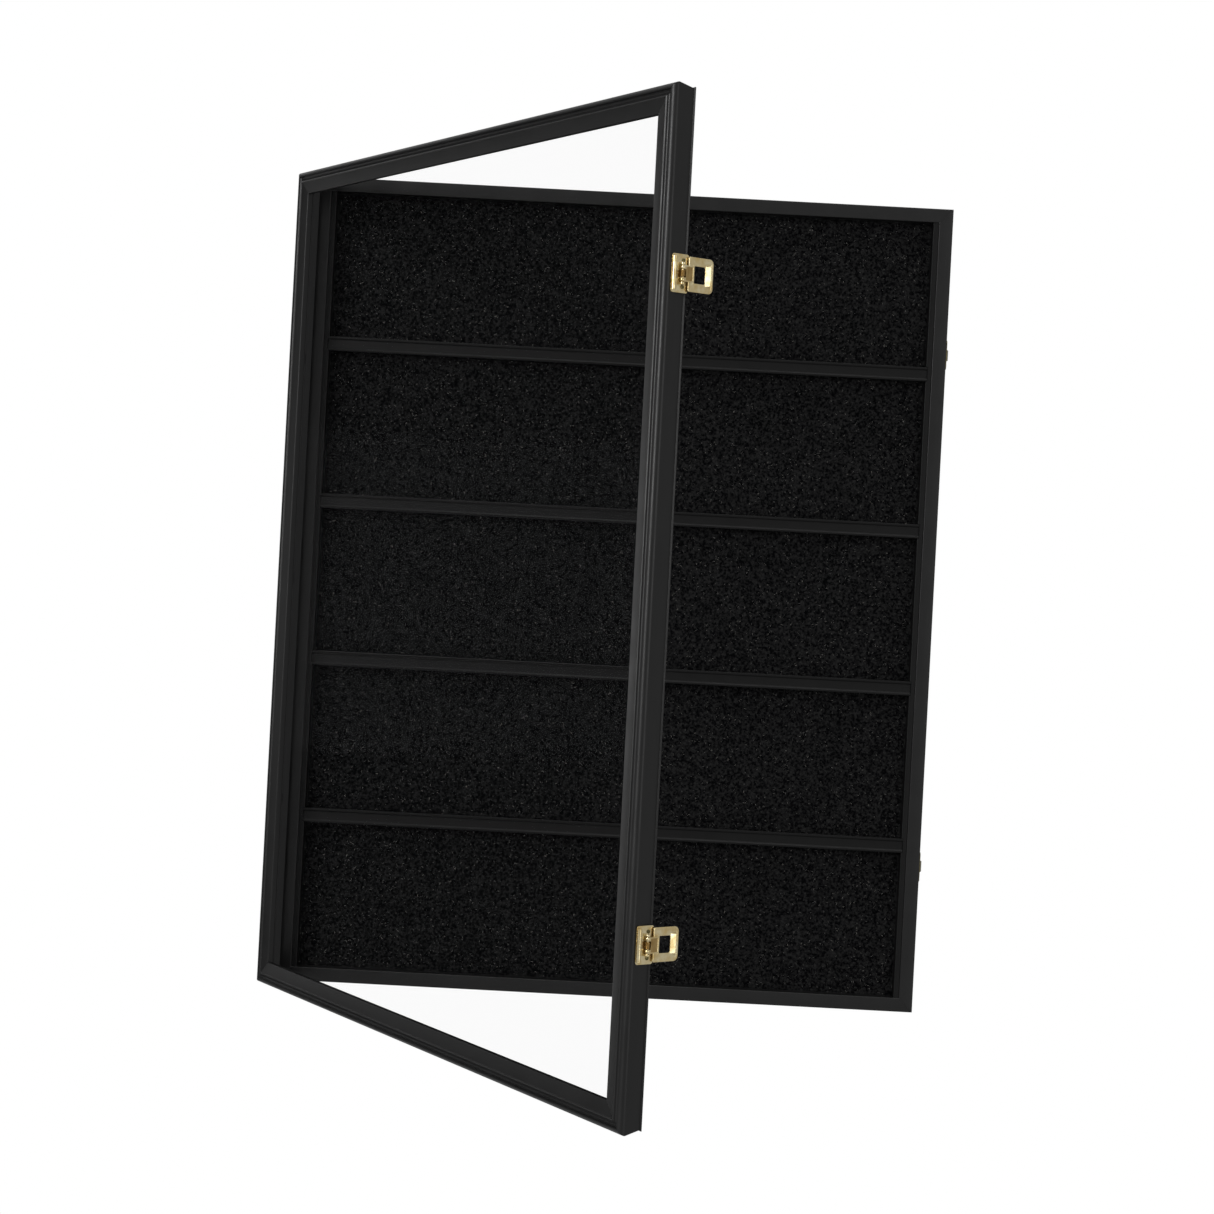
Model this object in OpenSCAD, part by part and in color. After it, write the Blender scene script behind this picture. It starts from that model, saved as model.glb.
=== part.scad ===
// Wall display frame for boxed coins: a shallow felt-lined case with ledges,
// closed by a glazed, mitred door on two butt hinges and two sprung hasp latches.
// Millimetres. +Z up, +X right, the front faces -Y. The origin lies midway between
// the two keyhole hangers, on the plane of their rear faces.

/* [Case] */
// Outer width of the case
case_w = 394; // [300:1:480]
// Outer height of the case
case_h = 498; // [400:1:620]
// Depth of the case rails, front to back
case_d = 20; // [18.6:0.1:30]
// Width of a case rail, seen from the front
rail_w = 8.5; // [7.5:0.1:14]
// Overlap of the ledge that the lining rests against
ledge_w = 2.5; // [1.5:0.1:3]
// Distance from the case's front face back to the felt
felt_setback = 8.5; // [7:0.1:9.5]
// Rounding of the rails' front edges
rail_round = 0.5; // [0.3:0.1:0.8]

/* [Lining] */
// Thickness of the felt
felt_t = 1; // [0.6:0.1:1.5]
// Thickness of the board under the felt
board_t = 5; // [4:0.1:5.5]
// Thickness of the hardboard back
back_t = 2.5; // [2:0.1:3]
// Gap between the boards and the rails, each side
board_gap = 0.4; // [0.2:0.1:0.8]
// Thickness of the sheet steel points that hold the boards and the pane
point_t = 0.4; // [0.3:0.1:0.6]

/* [Rows] */
// Height of a ledge, seen from the front
shelf_h = 8.7; // [7:0.1:11]
// Distance from the case's front face back to a ledge
shelf_setback = 1; // [0.6:0.1:2]
// Extra height of the top and bottom rows over the others
end_row_extra = 1; // [0:0.1:4]
// Height of the lips along a ledge's front
shelf_lip = 1.5; // [1.2:0.1:2]
// Depth of the channel along a ledge's front
channel_d = 0.9; // [0.5:0.1:1.2]
// Drop behind the lip, where a boxed coin stands
seat_drop = 0.8; // [0.4:0.1:1.2]
// Width of the uprights that carry the ledges
upright_w = 3.4; // [2.6:0.1:5]
// Depth of the housings in the uprights
housing_d = 1; // [0.6:0.1:1.4]

/* [Door] */
// Thickness of the door frame, from crest to back
door_t = 13.4; // [13:0.1:16]
// Width of the door frame's moulding
door_rail_w = 14; // [13:0.1:18]
// Radius of the moulding's outer round
crest_r = 3; // [2:0.1:3.2]
// Radius of the cove behind the crest
cove_r = 1.5; // [1.2:0.1:1.6]
// Fall of the moulding's face at its inner edge
lip_fall = 1; // [0.6:0.1:1.4]
// Distance from the crest back to the pane
pane_setback = 4.7; // [4.2:0.1:5]
// Thickness of the clear pane
pane_t = 2; // [1.5:0.1:2.5]
// Width of the wood outside the pane's rebate
rebate_wall = 5.5; // [5:0.1:6.5]
// Gap between the closed door and the case
door_gap = 0.5; // [0.4:0.1:1]
// How far the door stands open, where its joint reads zero
open_angle = 55.5; // [20:0.1:120]

/* [Hinges] */
// Distance of each hinge from the case's end
hinge_inset = 78; // [50:1:100]
// Length of a hinge
hinge_len = 30; // [22:1:40]
// Width of a hinge leaf
leaf_w = 8.5; // [6:0.1:9]
// Thickness of a hinge leaf
leaf_t = 0.7; // [0.5:0.1:0.8]
// Radius of the hinge barrel
barrel_r = 1.3; // [1.2:0.1:1.8]
// Radius of the hinge pin
hinge_pin_r = 0.6; // [0.5:0.05:0.8]

/* [Latches] */
// Distance of each latch from the case's end
latch_inset = 90; // [60:1:110]
// Height of a latch's base plate
base_h = 18.4; // [18:0.1:22]
// Width of a latch's base plate
base_w = 9.9; // [9.4:0.1:10.1]
// Thickness of the latch's sheet brass
brass_t = 0.5; // [0.4:0.05:0.6]
// Radius of the rolled bead on the base plate
bead_r = 1.1; // [0.9:0.1:1.3]
// Height of the hasp
hasp_h = 16.6; // [16.2:0.1:18]
// Reach of the hasp, from its pin to its end
hasp_reach = 18.1; // [17.8:0.1:18.4]
// Distance from the pin to the hasp's window
window_start = 6.9; // [6.7:0.1:7.1]
// Length of the hasp's window
window_len = 6.4; // [6:0.1:6.6]
// Height of the hasp's window
window_h = 8.2; // [8:0.1:9]
// Height of the tongue that joins the hasp to its pin
tongue_h = 7.8; // [7:0.1:8]
// Radius of the latch pin
latch_pin_r = 0.5; // [0.4:0.05:0.6]

/* [Hangers] */
// Distance from the top of the case down to the hanger holes
hang_drop = 60; // [40:1:120]
// Thickness of a hanger plate
hanger_t = 1.2; // [1:0.1:1.6]
// Width of a hanger plate
hanger_w = 20; // [18:0.5:26]
// Height of a hanger plate
hanger_h = 44; // [40:1:60]
// Radius of the hanger's entry hole
entry_r = 4; // [3.5:0.1:4.5]
// Width of the hanger's slot
slot_w = 4; // [3.5:0.1:4.5]
// Height of the wall bumpers
bumper_h = 2.5; // [2:0.1:4]

/* [Hidden] */
$fn = 48;

// Finishes
wood = "#26272a";
liner = "#2c2d30";
cloth = "#0b0b0c";
board = "#1a1a1b";
brass = "#c9b074";
steel = "#8f9296";
rubber = "#303030";
clear = [0.92, 0.95, 0.96, 0.3];

// Planes and centres
back_y = -hanger_t;
front_y = back_y - case_d;
mid_z = hang_drop - case_h / 2;
door_back_y = front_y - door_gap;
door_front_y = door_back_y - door_t;
side_x = case_w / 2;
pin_clear = 0.05;
part_clear = 0.25;
hinge_x = -side_x - barrel_r - 0.1;
hinge_y = front_y - door_gap / 2;

// Inside of the case
inner_w = case_w - 2 * rail_w;
inner_h = case_h - 2 * rail_w;
wall_w = rail_w - ledge_w;
board_w = case_w - 2 * (wall_w + board_gap);
board_h = case_h - 2 * (wall_w + board_gap);
back_face = felt_setback + felt_t + board_t + back_t;

// Rows
shelf_n = 4;
row_h = (inner_h - shelf_n * shelf_h - 2 * end_row_extra) / (shelf_n + 1);
shelf_pitch = row_h + shelf_h;
housing_gap = 0.1;
shelf_len = inner_w - 2 * (upright_w - housing_d) - 2 * housing_gap;
shelf_screw_r = 1.25;
shelf_screw_head_r = 2.8;
shelf_screw_head_d = 1.6;
shelf_screw_len = 11;
shelf_screw_end = 28;

// Fasteners
nail_r = 0.6;
nail_len = 5;
nail_dome_r = 1.6;
hanger_screw_r = 1;
hanger_screw_len = 9;
hanger_screw_head_r = 2.1;
hanger_screw_head_t = 1.1;
corner_nail_len = 6;
bumper_x = 24;
point_w = 6;
point_bite = 2.6;
point_reach = 5;

// Hinges
knuckles = 5;
knuckle_gap = 0.3;
knuckle_len = (hinge_len - (knuckles - 1) * knuckle_gap) / knuckles;
hinge_nail_head_r = 1.4;
hinge_z = case_h / 2 - hinge_inset;

// Latches: e is the depth behind the door's crest, h the height off its edge
latch_z = case_h / 2 - latch_inset;
base_e = door_t - base_w - 0.1;
knuckle_r = 1.1;
pivot_e = door_t - 4.35;
pivot_h = brass_t + knuckle_r + 0.25;
hasp_t = 0.6;
hasp_low = -0.65;
roll_z = 2;
base_knuckle_z = tongue_h / 2 + 0.3;
base_knuckle_len = 1;
latch_nail_e = base_e + 6.65;
latch_nail_z = 6.3;
latch_head_r = 1;
latch_head_t = 0.4;
spring_wire = 0.4;
spring_turns = 6;
spring_r = 1.15;

// Catches, measured from the case's front face
window_back = pivot_e + window_start + window_len - door_t - door_gap;
catch_w = 11;
catch_h = 18;
catch_e = 1.2;
hook_h = pivot_h + hasp_low + hasp_t + 0.2;
hook_z = 6.4;
hook_back = window_back - 0.3;
hook_front = hook_back - window_len + 1;
catch_nail_z = 6.6;
catch_nail_e = catch_e + 5.5;

// A quarter or part of a circle as points, centre (x, y)
function arc(x, y, r, from, to, steps) =
    [for (i = [0:steps]) let (a = from + (to - from) * i / steps) [x + r * cos(a), y + r * sin(a)]];

// Case rail section: depth from the front, then distance from the outer side
function case_section() = concat(
    arc(rail_round, rail_round, rail_round, 270, 180, 4),
    arc(rail_round, rail_w - rail_round, rail_round, 180, 90, 4),
    [[felt_setback, rail_w], [felt_setback, wall_w], [case_d, wall_w], [case_d, 0]]
);

// Door moulding section: an outer round, a cove, a raised bead and a sloping face
cove_q = crest_r + cove_r;
cove_sink = 0.2;
cove_half = acos(cove_sink / cove_r);
bead_q = cove_q + cove_r;
face_q = bead_q + 1;
lip_r = 0.5;
function door_section() = concat(
    arc(crest_r, crest_r, crest_r, 270, 180, 8),
    arc(-cove_sink, cove_q, cove_r, -cove_half, cove_half, 8),
    [[-0.12, bead_q + 0.25], [-0.1, bead_q + 0.5], [0.05, face_q]],
    arc(lip_fall + lip_r, door_rail_w - lip_r, lip_r, 180 - 8, 90, 4),
    [[pane_setback, door_rail_w], [pane_setback, rebate_wall], [door_t, rebate_wall], [door_t, 0]]
);

// Ledge section: depth from the ledge's front, then height from its middle
function half_ledge() = let (deep = felt_setback - shelf_setback, top = shelf_h / 2) [
    [channel_d, top - shelf_lip - channel_d / 2],
    [0.25, top - shelf_lip + 0.1],
    [0, top - shelf_lip + 0.4],
    [0, top - 0.4],
    [0.4, top],
    [1.6, top],
    [2, top - seat_drop],
    [deep, top - seat_drop]
];
function ledge_section() = let (half = half_ledge(), last = len(half) - 1) concat(
    half,
    [for (i = [last:-1:0]) [half[i][0], -half[i][1]]]
);

// Places
module at_case() {
    translate([0, front_y, mid_z]) children();
}
module at_door() {
    translate([hinge_x, hinge_y, 0])
        rotate([0, 0, -open_angle])
            translate([-hinge_x, door_front_y - hinge_y, mid_z])
                children();
}
module both(z) {
    for (s = [1, -1]) translate([0, 0, s * z]) children();
}
// Moves a shape drawn on the right-hand side plane, x away from it and y back along it
module on_right_edge() {
    translate([side_x, 0, 0]) children();
}

// One mitred side of a rectangular frame, turned about the frame's middle
module mitred_side(turn, length, half, section, reach) {
    rotate([0, turn, 0])
        translate([0, 0, -half])
            intersection() {
                rotate([90, 0, 90])
                    linear_extrude(length, center = true) polygon(section);
                rotate([90, 0, 0])
                    linear_extrude(4 * case_d, center = true)
                        polygon([
                            [-length / 2 - 1, -1], [length / 2 + 1, -1],
                            [length / 2 - reach, reach], [-length / 2 + reach, reach]
                        ]);
            }
}
module case_side(turn, length, half) {
    mitred_side(turn, length, half, case_section(), rail_w + 2);
}
module door_side(turn, length, half) {
    mitred_side(turn, length, half, door_section(), door_rail_w + 2);
}

// A plate in the YZ plane with rounded corners, standing off along +X
module rounded_plate(wide, high, thick, r) {
    rotate([90, 0, 90]) linear_extrude(thick) {
        translate([r, -high / 2]) square([wide - 2 * r, high]);
        translate([0, -high / 2 + r]) square([wide, high - 2 * r]);
        for (x = [r, wide - r], z = [-high / 2 + r, high / 2 - r])
            translate([x, z]) circle(r);
    }
}

// V-shaped nails driven into the back of the four mitres
module corner_nails(back, offset) {
    for (sx = [1, -1], sz = [1, -1])
        translate([sx * (side_x - offset), back, sz * (case_h / 2 - offset)])
            rotate([0, atan2(sz, -sx), 0])
                rotate([90, 0, 0])
                    linear_extrude(corner_nail_len)
                        polygon([
                            [-1.2, 0], [0.8, 2], [1.3, 1.6],
                            [-0.4, 0], [1.3, -1.6], [0.8, -2]
                        ]);
}

// Flat steel points pressed into the rebate, reaching over a board or pane
module points(depth, wall) {
    length = point_bite + point_reach;
    inset = wall + point_reach;
    for (s = [1, -1]) {
        back_off = s > 0 ? 0 : length;
        for (x = [-0.3, 0.3] * case_w)
            translate([x - point_w / 2, depth, s * (case_h / 2 - inset) - back_off])
                cube([point_w, point_t, length]);
        for (z = [-0.27, 0, 0.27] * case_h)
            translate([s * (side_x - inset) - back_off, depth, z - point_w / 2])
                cube([length, point_t, point_w]);
    }
}
module case_points_shape() {
    points(back_face, wall_w);
}
module pane_points_shape() {
    points(pane_setback + pane_t, rebate_wall);
}

// Countersunk hinge nails, heads flush with the leaf
module hinge_nails(y) {
    for (s = [1, -1], z = [-0.3, 0.3] * hinge_len)
        translate([-side_x - leaf_t, y, s * hinge_z + z])
            rotate([0, 90, 0]) {
                cylinder(r1 = hinge_nail_head_r, r2 = nail_r, h = leaf_t);
                cylinder(r = nail_r, h = leaf_t + nail_len);
            }
}
leaf_nail_y = 0.62 * leaf_w;
module hinge_case_nails_shape() {
    hinge_nails(door_gap / -2 + leaf_nail_y);
}
module hinge_door_nails_shape() {
    hinge_nails(door_t + door_gap / 2 - leaf_nail_y);
}

// Round-headed nails driven through a plate on the right-hand edge
module edge_nails(e, z) {
    head_face = [brass_t, e, 0];
    on_right_edge() both(latch_z) both(z) translate(head_face) rotate([0, 90, 0]) {
        translate([0, 0, -brass_t - nail_len])
            cylinder(r = nail_r, h = nail_len + brass_t + 0.1);
        intersection() {
            cylinder(r = latch_head_r, h = latch_head_t);
            translate([0, 0, latch_head_t - nail_dome_r]) sphere(nail_dome_r);
        }
    }
}
module latch_nails_shape() {
    edge_nails(latch_nail_e, latch_nail_z);
}
module catch_nails_shape() {
    edge_nails(catch_nail_e, catch_nail_z);
}

// Case rails
module case_top_rail() {
    color(wood) at_case() difference() {
        case_side(180, case_w, case_h / 2);
        corner_nails(case_d, wall_w / 2);
        case_points_shape();
    }
}
module case_bottom_rail() {
    color(wood) at_case() difference() {
        case_side(0, case_w, case_h / 2);
        corner_nails(case_d, wall_w / 2);
        case_points_shape();
    }
}
module case_left_rail() {
    color(wood) at_case() difference() {
        case_side(90, case_h, side_x);
        corner_nails(case_d, wall_w / 2);
        case_points_shape();
        hinge_case_nails_shape();
        hanger_screws_shape();
    }
}
module case_right_rail() {
    color(wood) at_case() difference() {
        case_side(-90, case_h, side_x);
        corner_nails(case_d, wall_w / 2);
        case_points_shape();
        catch_nails_shape();
        hanger_screws_shape();
    }
}
module case_corner_nails() {
    color(steel) at_case() corner_nails(case_d, wall_w / 2);
}

// Uprights with a housing for each ledge
module upright(side) {
    color(liner) at_case() difference() {
        translate([side > 0 ? inner_w / 2 - upright_w : -inner_w / 2, shelf_setback - 0.2, -inner_h / 2])
            cube([upright_w, felt_setback - shelf_setback + 0.2, inner_h]);
        for (i = [1:shelf_n])
            translate([
                side > 0 ? inner_w / 2 - upright_w - 1 : -inner_w / 2 + upright_w - housing_d,
                shelf_setback - 1,
                shelf_z(i) - shelf_h / 2 - housing_gap
            ])
                cube([housing_d + 1, felt_setback + 1, shelf_h + 2 * housing_gap]);
    }
}
function shelf_z(i) = ((shelf_n + 1) / 2 - i) * shelf_pitch;

// Ledges: a bar with a channel along its front and a seat behind each lip
module shelf(i) {
    color(liner) at_case() difference() {
        translate([0, shelf_setback, shelf_z(i)])
            rotate([90, 0, 90])
                linear_extrude(shelf_len, center = true) polygon(ledge_section());
        shelf_row_screws(i, 0);
    }
}
// Countersunk screws through the lining into the back of one ledge
module shelf_row_screws(i, gap) {
    head_y = felt_setback + felt_t + board_t;
    for (x = [-1, 0, 1] * (shelf_len / 2 - shelf_screw_end))
        translate([x, head_y, shelf_z(i)]) rotate([90, 0, 0]) {
            cylinder(r1 = shelf_screw_head_r, r2 = shelf_screw_r, h = shelf_screw_head_d);
            cylinder(r = shelf_screw_r + gap, h = shelf_screw_len);
        }
}
module shelf_screws() {
    color(steel) at_case() for (i = [1:shelf_n]) shelf_row_screws(i, 0);
}

// Felt, the board under it and the hardboard back, each drilled or plain
module lining_sheet(depth, thick) {
    translate([-board_w / 2, depth, -board_h / 2]) cube([board_w, thick, board_h]);
}
module felt_panel() {
    color(cloth) at_case() difference() {
        lining_sheet(felt_setback, felt_t);
        for (i = [1:shelf_n]) shelf_row_screws(i, 0.2);
    }
}
module mounting_board() {
    color(board) at_case() difference() {
        lining_sheet(felt_setback + felt_t, board_t);
        for (i = [1:shelf_n]) shelf_row_screws(i, 0.2);
    }
}
module back_board() {
    color(board) at_case() lining_sheet(felt_setback + felt_t + board_t, back_t);
}
module back_points() {
    color(steel) at_case() case_points_shape();
}

// Keyhole hangers, screwed to the backs of the side rails
hanger_x = side_x - 1 - hanger_w;
key_x = hanger_x + 7.5;
key_rise = 9;
hanger_screw_z = hanger_h / 2 - 5;
module hanger(side) {
    plate_x = side > 0 ? hanger_x - key_x : key_x - hanger_x - hanger_w;
    color(steel) translate([side * key_x, 0, 0])
        rotate([90, 0, 0]) linear_extrude(hanger_t) difference() {
            translate([plate_x, -hanger_h / 2]) square([hanger_w, hanger_h]);
            circle(entry_r);
            translate([-slot_w / 2, 0]) square([slot_w, key_rise]);
            translate([0, key_rise]) circle(slot_w / 2);
            for (s = [1, -1])
                translate([side * (side_x - wall_w / 2 - key_x), s * hanger_screw_z])
                    circle(hanger_screw_r);
        }
}
// Pan-headed screws, in the case's own frame
module hanger_screws_shape() {
    screw_x = side_x - wall_w / 2;
    for (sx = [1, -1], sz = [1, -1])
        translate([sx * screw_x, case_d, -mid_z + sz * hanger_screw_z]) rotate([-90, 0, 0]) {
            translate([0, 0, -hanger_screw_len])
                cylinder(r = hanger_screw_r, h = hanger_screw_len + hanger_t);
            translate([0, 0, hanger_t])
                cylinder(r = hanger_screw_head_r, h = hanger_screw_head_t);
        }
}
module hanger_screws() {
    color(steel) at_case() hanger_screws_shape();
}
module wall_bumpers() {
    color(rubber) at_case() for (sx = [1, -1], sz = [1, -1])
        translate([sx * (side_x - bumper_x), case_d, sz * (case_h - wall_w) / 2])
            rotate([-90, 0, 0])
                cylinder(r1 = wall_w / 2 - 0.1, r2 = wall_w / 2 - 1, h = hanger_t + bumper_h);
}

// Hinge leaves: odd knuckles belong to the case, even ones to the door
module knuckle_row(odd, r, extra) {
    for (k = [0:knuckles - 1])
        if ((k % 2 == 0) == odd)
            translate([0, 0, -hinge_len / 2 + k * (knuckle_len + knuckle_gap) - extra])
                cylinder(r = r, h = knuckle_len + 2 * extra);
}
// Drawn with the pin's axis at the origin, the side plane at x = barrel_r + 0.1
module hinge_leaf(odd, back, bore_r) {
    plate_gap = 0.3;
    difference() {
        union() {
            translate([barrel_r + 0.1 - leaf_t, back > 0 ? plate_gap : -leaf_w, -hinge_len / 2])
                cube([leaf_t, leaf_w - plate_gap, hinge_len]);
            knuckle_row(odd, barrel_r, 0);
        }
        knuckle_row(!odd, barrel_r + part_clear, knuckle_gap);
        translate([0, 0, -hinge_len]) cylinder(r = bore_r, h = 2 * hinge_len);
    }
}
module case_leaf(s) {
    color(brass) at_case() difference() {
        translate([hinge_x, -door_gap / 2, s * hinge_z]) hinge_leaf(true, 1, hinge_pin_r);
        hinge_case_nails_shape();
    }
}
module door_leaf(s) {
    color(brass) at_door() difference() {
        translate([hinge_x, door_t + door_gap / 2, s * hinge_z])
            hinge_leaf(false, -1, hinge_pin_r + pin_clear);
        hinge_door_nails_shape();
    }
}
module hinge_pin(s) {
    color(brass) at_case() translate([hinge_x, -door_gap / 2, s * hinge_z - hinge_len / 2])
        cylinder(r = hinge_pin_r, h = hinge_len);
}
module hinge_case_nails() {
    color(brass) at_case() hinge_case_nails_shape();
}
module hinge_door_nails() {
    color(brass) at_door() hinge_door_nails_shape();
}

// Catches: a plate on the case's right side with a ramped hook for the hasp
module latch_catch(s) {
    color(brass) at_case() difference() {
        on_right_edge() translate([0, 0, s * latch_z]) {
            translate([0, catch_e, 0]) rounded_plate(catch_w, catch_h, brass_t, 1.6);
            translate([0, 0, -hook_z / 2]) linear_extrude(hook_z) polygon([
                [brass_t / 2, hook_front], [brass_t + 0.3, hook_front], [hook_h, hook_back - 1.6],
                [hook_h, hook_back - 0.4], [hook_h - 0.3, hook_back], [brass_t / 2, hook_back]
            ]);
        }
        catch_nails_shape();
    }
}
module catch_nails() {
    color(brass) at_case() catch_nails_shape();
}

// Door frame and pane
module door_top_rail() {
    color(wood) at_door() difference() {
        door_side(180, case_w, case_h / 2);
        corner_nails(door_t, rebate_wall / 2);
        pane_points_shape();
    }
}
module door_bottom_rail() {
    color(wood) at_door() difference() {
        door_side(0, case_w, case_h / 2);
        corner_nails(door_t, rebate_wall / 2);
        pane_points_shape();
    }
}
module door_hinge_stile() {
    color(wood) at_door() difference() {
        door_side(90, case_h, side_x);
        corner_nails(door_t, rebate_wall / 2);
        pane_points_shape();
        hinge_door_nails_shape();
    }
}
module door_latch_stile() {
    color(wood) at_door() difference() {
        door_side(-90, case_h, side_x);
        corner_nails(door_t, rebate_wall / 2);
        pane_points_shape();
        latch_nails_shape();
    }
}
module door_corner_nails() {
    color(steel) at_door() corner_nails(door_t, rebate_wall / 2);
}
module pane() {
    pane_w = case_w - 2 * (rebate_wall + board_gap);
    pane_h = case_h - 2 * (rebate_wall + board_gap);
    color(clear) at_door() translate([-pane_w / 2, pane_setback, -pane_h / 2])
        cube([pane_w, pane_t, pane_h]);
}
module pane_points() {
    color(steel) at_door() pane_points_shape();
}

// Latch base: a plate with a rolled bead and two knuckles the pin turns in
module latch_base(s) {
    color(brass) at_door() difference() {
        on_right_edge() translate([0, 0, s * latch_z]) {
            translate([0, base_e, 0]) rounded_plate(base_w, base_h, brass_t, 1.2);
            translate([bead_r + 0.2, base_e + bead_r, -base_h / 2 + 1.3])
                cylinder(r = bead_r, h = base_h - 2.6);
            for (z = [base_knuckle_z, -base_knuckle_z - base_knuckle_len])
                translate([0, 0, z]) {
                    translate([pivot_h, pivot_e, 0]) cylinder(r = knuckle_r, h = base_knuckle_len);
                    translate([0, pivot_e - knuckle_r + 0.1, 0])
                        cube([pivot_h, 2 * knuckle_r - 0.2, base_knuckle_len]);
                }
        }
        on_right_edge() translate([pivot_h, pivot_e, s * latch_z - base_h])
            cylinder(r = latch_pin_r + pin_clear, h = 2 * base_h);
        latch_nails_shape();
    }
}
module latch_nails() {
    color(brass) at_door() latch_nails_shape();
}
module latch_pin(s) {
    color(brass) at_door() on_right_edge()
        translate([pivot_h, pivot_e, s * latch_z - base_knuckle_z - base_knuckle_len])
            cylinder(r = latch_pin_r, h = 2 * (base_knuckle_z + base_knuckle_len));
}
// Close-wound spring: its turns as ripples on a sleeve around the pin
module latch_spring(s) {
    pitch = 2 * (roll_z - 0.25) / spring_turns;
    bore = spring_r - spring_wire;
    ripple = [for (k = [0:spring_turns - 1], a = [-60, -20, 20, 60])
        [spring_r - spring_wire / 2 + spring_wire / 2 * cos(a), (k + 0.5) * pitch + pitch / 2 * sin(a)]];
    color(steel) at_door() on_right_edge()
        translate([pivot_h, pivot_e, s * latch_z - spring_turns * pitch / 2])
            rotate_extrude()
                polygon(concat([[bore, 0]], ripple, [[bore, spring_turns * pitch]]));
}

// Hasp: a windowed frame on a tongue rolled round the pin, a raised bar along its end
module hasp(s) {
    frame_start = 3.4;
    bar_start = window_start + window_len + 0.1;
    bar_w = 3.3;
    bar_h = window_h + 2.4;
    tongue_w = window_start - 0.2;
    color(brass) at_door() on_right_edge() translate([pivot_h, pivot_e, s * latch_z]) difference() {
        union() {
            difference() {
                translate([hasp_low, frame_start, 0]) {
                    rounded_plate(hasp_reach - frame_start, hasp_h, hasp_t, 2.4);
                    rounded_plate(window_start, hasp_h, hasp_t, 0.8);
                }
                translate([hasp_low - 1, window_start, -window_h / 2])
                    cube([hasp_t + 2, window_len, window_h]);
            }
            translate([hasp_low + hasp_t - 0.1, bar_start + bar_w / 2, -bar_h / 2]) intersection() {
                translate([-0.9, 0, 0]) cylinder(r = bar_w / 2 + 0.2, h = bar_h);
                translate([0, -bar_w / 2, 0]) cube([bar_w, bar_w, bar_h]);
            }
            for (z = [roll_z, -tongue_h / 2])
                translate([0, 0, z]) cylinder(r = knuckle_r, h = tongue_h / 2 - roll_z);
            difference() {
                translate([0, 0, -tongue_h / 2]) linear_extrude(tongue_h) polygon([
                    [hasp_low, 0], [hasp_low, tongue_w], [hasp_low + hasp_t + 0.15, tongue_w],
                    [knuckle_r - 0.1, 0.5], [knuckle_r - 0.6, 0]
                ]);
                translate([0, 0, -roll_z]) cylinder(r = spring_r + part_clear, h = 2 * roll_z);
            }
        }
        translate([0, 0, -hasp_h]) cylinder(r = latch_pin_r, h = 2 * hasp_h);
    }
}

case_top_rail();
case_bottom_rail();
case_left_rail();
case_right_rail();
case_corner_nails();
upright(-1);  // left_upright
upright(1);  // right_upright
shelf(1);  // shelf_1
shelf(2);  // shelf_2
shelf(3);  // shelf_3
shelf(4);  // shelf_4
shelf_screws();
felt_panel();
mounting_board();
back_board();
back_points();
hanger(-1);  // hanger_left
hanger(1);  // hanger_right
hanger_screws();
wall_bumpers();
case_leaf(1);  // upper_hinge_case_leaf
case_leaf(-1);  // lower_hinge_case_leaf
hinge_case_nails();
hinge_pin(1);  // upper_hinge_pin
hinge_pin(-1);  // lower_hinge_pin
latch_catch(1);  // upper_catch
latch_catch(-1);  // lower_catch
catch_nails();
door_top_rail();
door_bottom_rail();
door_hinge_stile();
door_latch_stile();
door_corner_nails();
pane();
pane_points();
door_leaf(1);  // upper_hinge_door_leaf
door_leaf(-1);  // lower_hinge_door_leaf
hinge_door_nails();
latch_base(1);  // upper_latch_base
latch_base(-1);  // lower_latch_base
latch_nails();
latch_pin(1);  // upper_latch_pin
latch_pin(-1);  // lower_latch_pin
latch_spring(1);  // upper_latch_spring
latch_spring(-1);  // lower_latch_spring
hasp(1);  // upper_hasp
hasp(-1);  // lower_hasp
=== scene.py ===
# %% [markdown]
# # A wall display frame for boxed coins
# The frame is a shallow black case with ledges over a felt back. A glazed door hangs on its left side
# and shuts with two small sprung hasps. The sized, jointed parts come from a CAD model, so this lesson
# first loads that model and keeps to its planes, and then gives every part its real surface.

# %% Load the measured model
import math

import bmesh
import bpy
from mathutils import Matrix, Vector


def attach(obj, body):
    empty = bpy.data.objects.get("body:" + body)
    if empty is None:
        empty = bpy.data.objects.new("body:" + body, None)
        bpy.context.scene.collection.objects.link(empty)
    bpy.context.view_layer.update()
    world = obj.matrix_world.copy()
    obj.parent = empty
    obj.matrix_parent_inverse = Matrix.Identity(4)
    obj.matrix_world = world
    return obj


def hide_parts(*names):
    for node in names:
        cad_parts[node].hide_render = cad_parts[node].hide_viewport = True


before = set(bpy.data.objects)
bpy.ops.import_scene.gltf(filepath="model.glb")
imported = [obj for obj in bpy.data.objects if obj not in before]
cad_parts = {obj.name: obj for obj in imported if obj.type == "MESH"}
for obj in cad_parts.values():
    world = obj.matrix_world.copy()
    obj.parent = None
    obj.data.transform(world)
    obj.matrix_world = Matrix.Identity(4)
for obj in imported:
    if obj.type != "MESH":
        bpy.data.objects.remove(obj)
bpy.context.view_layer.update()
MM = 0.001

# %% [markdown]
# The maker's own sizes are written down once, in millimetres, as on a drawing. Two places are used all
# the time: the case's front plane, and the open door, which is the same plane turned about the hinge.
# Everything below is drawn flat at one of them and then carried there by a matrix.

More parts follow.
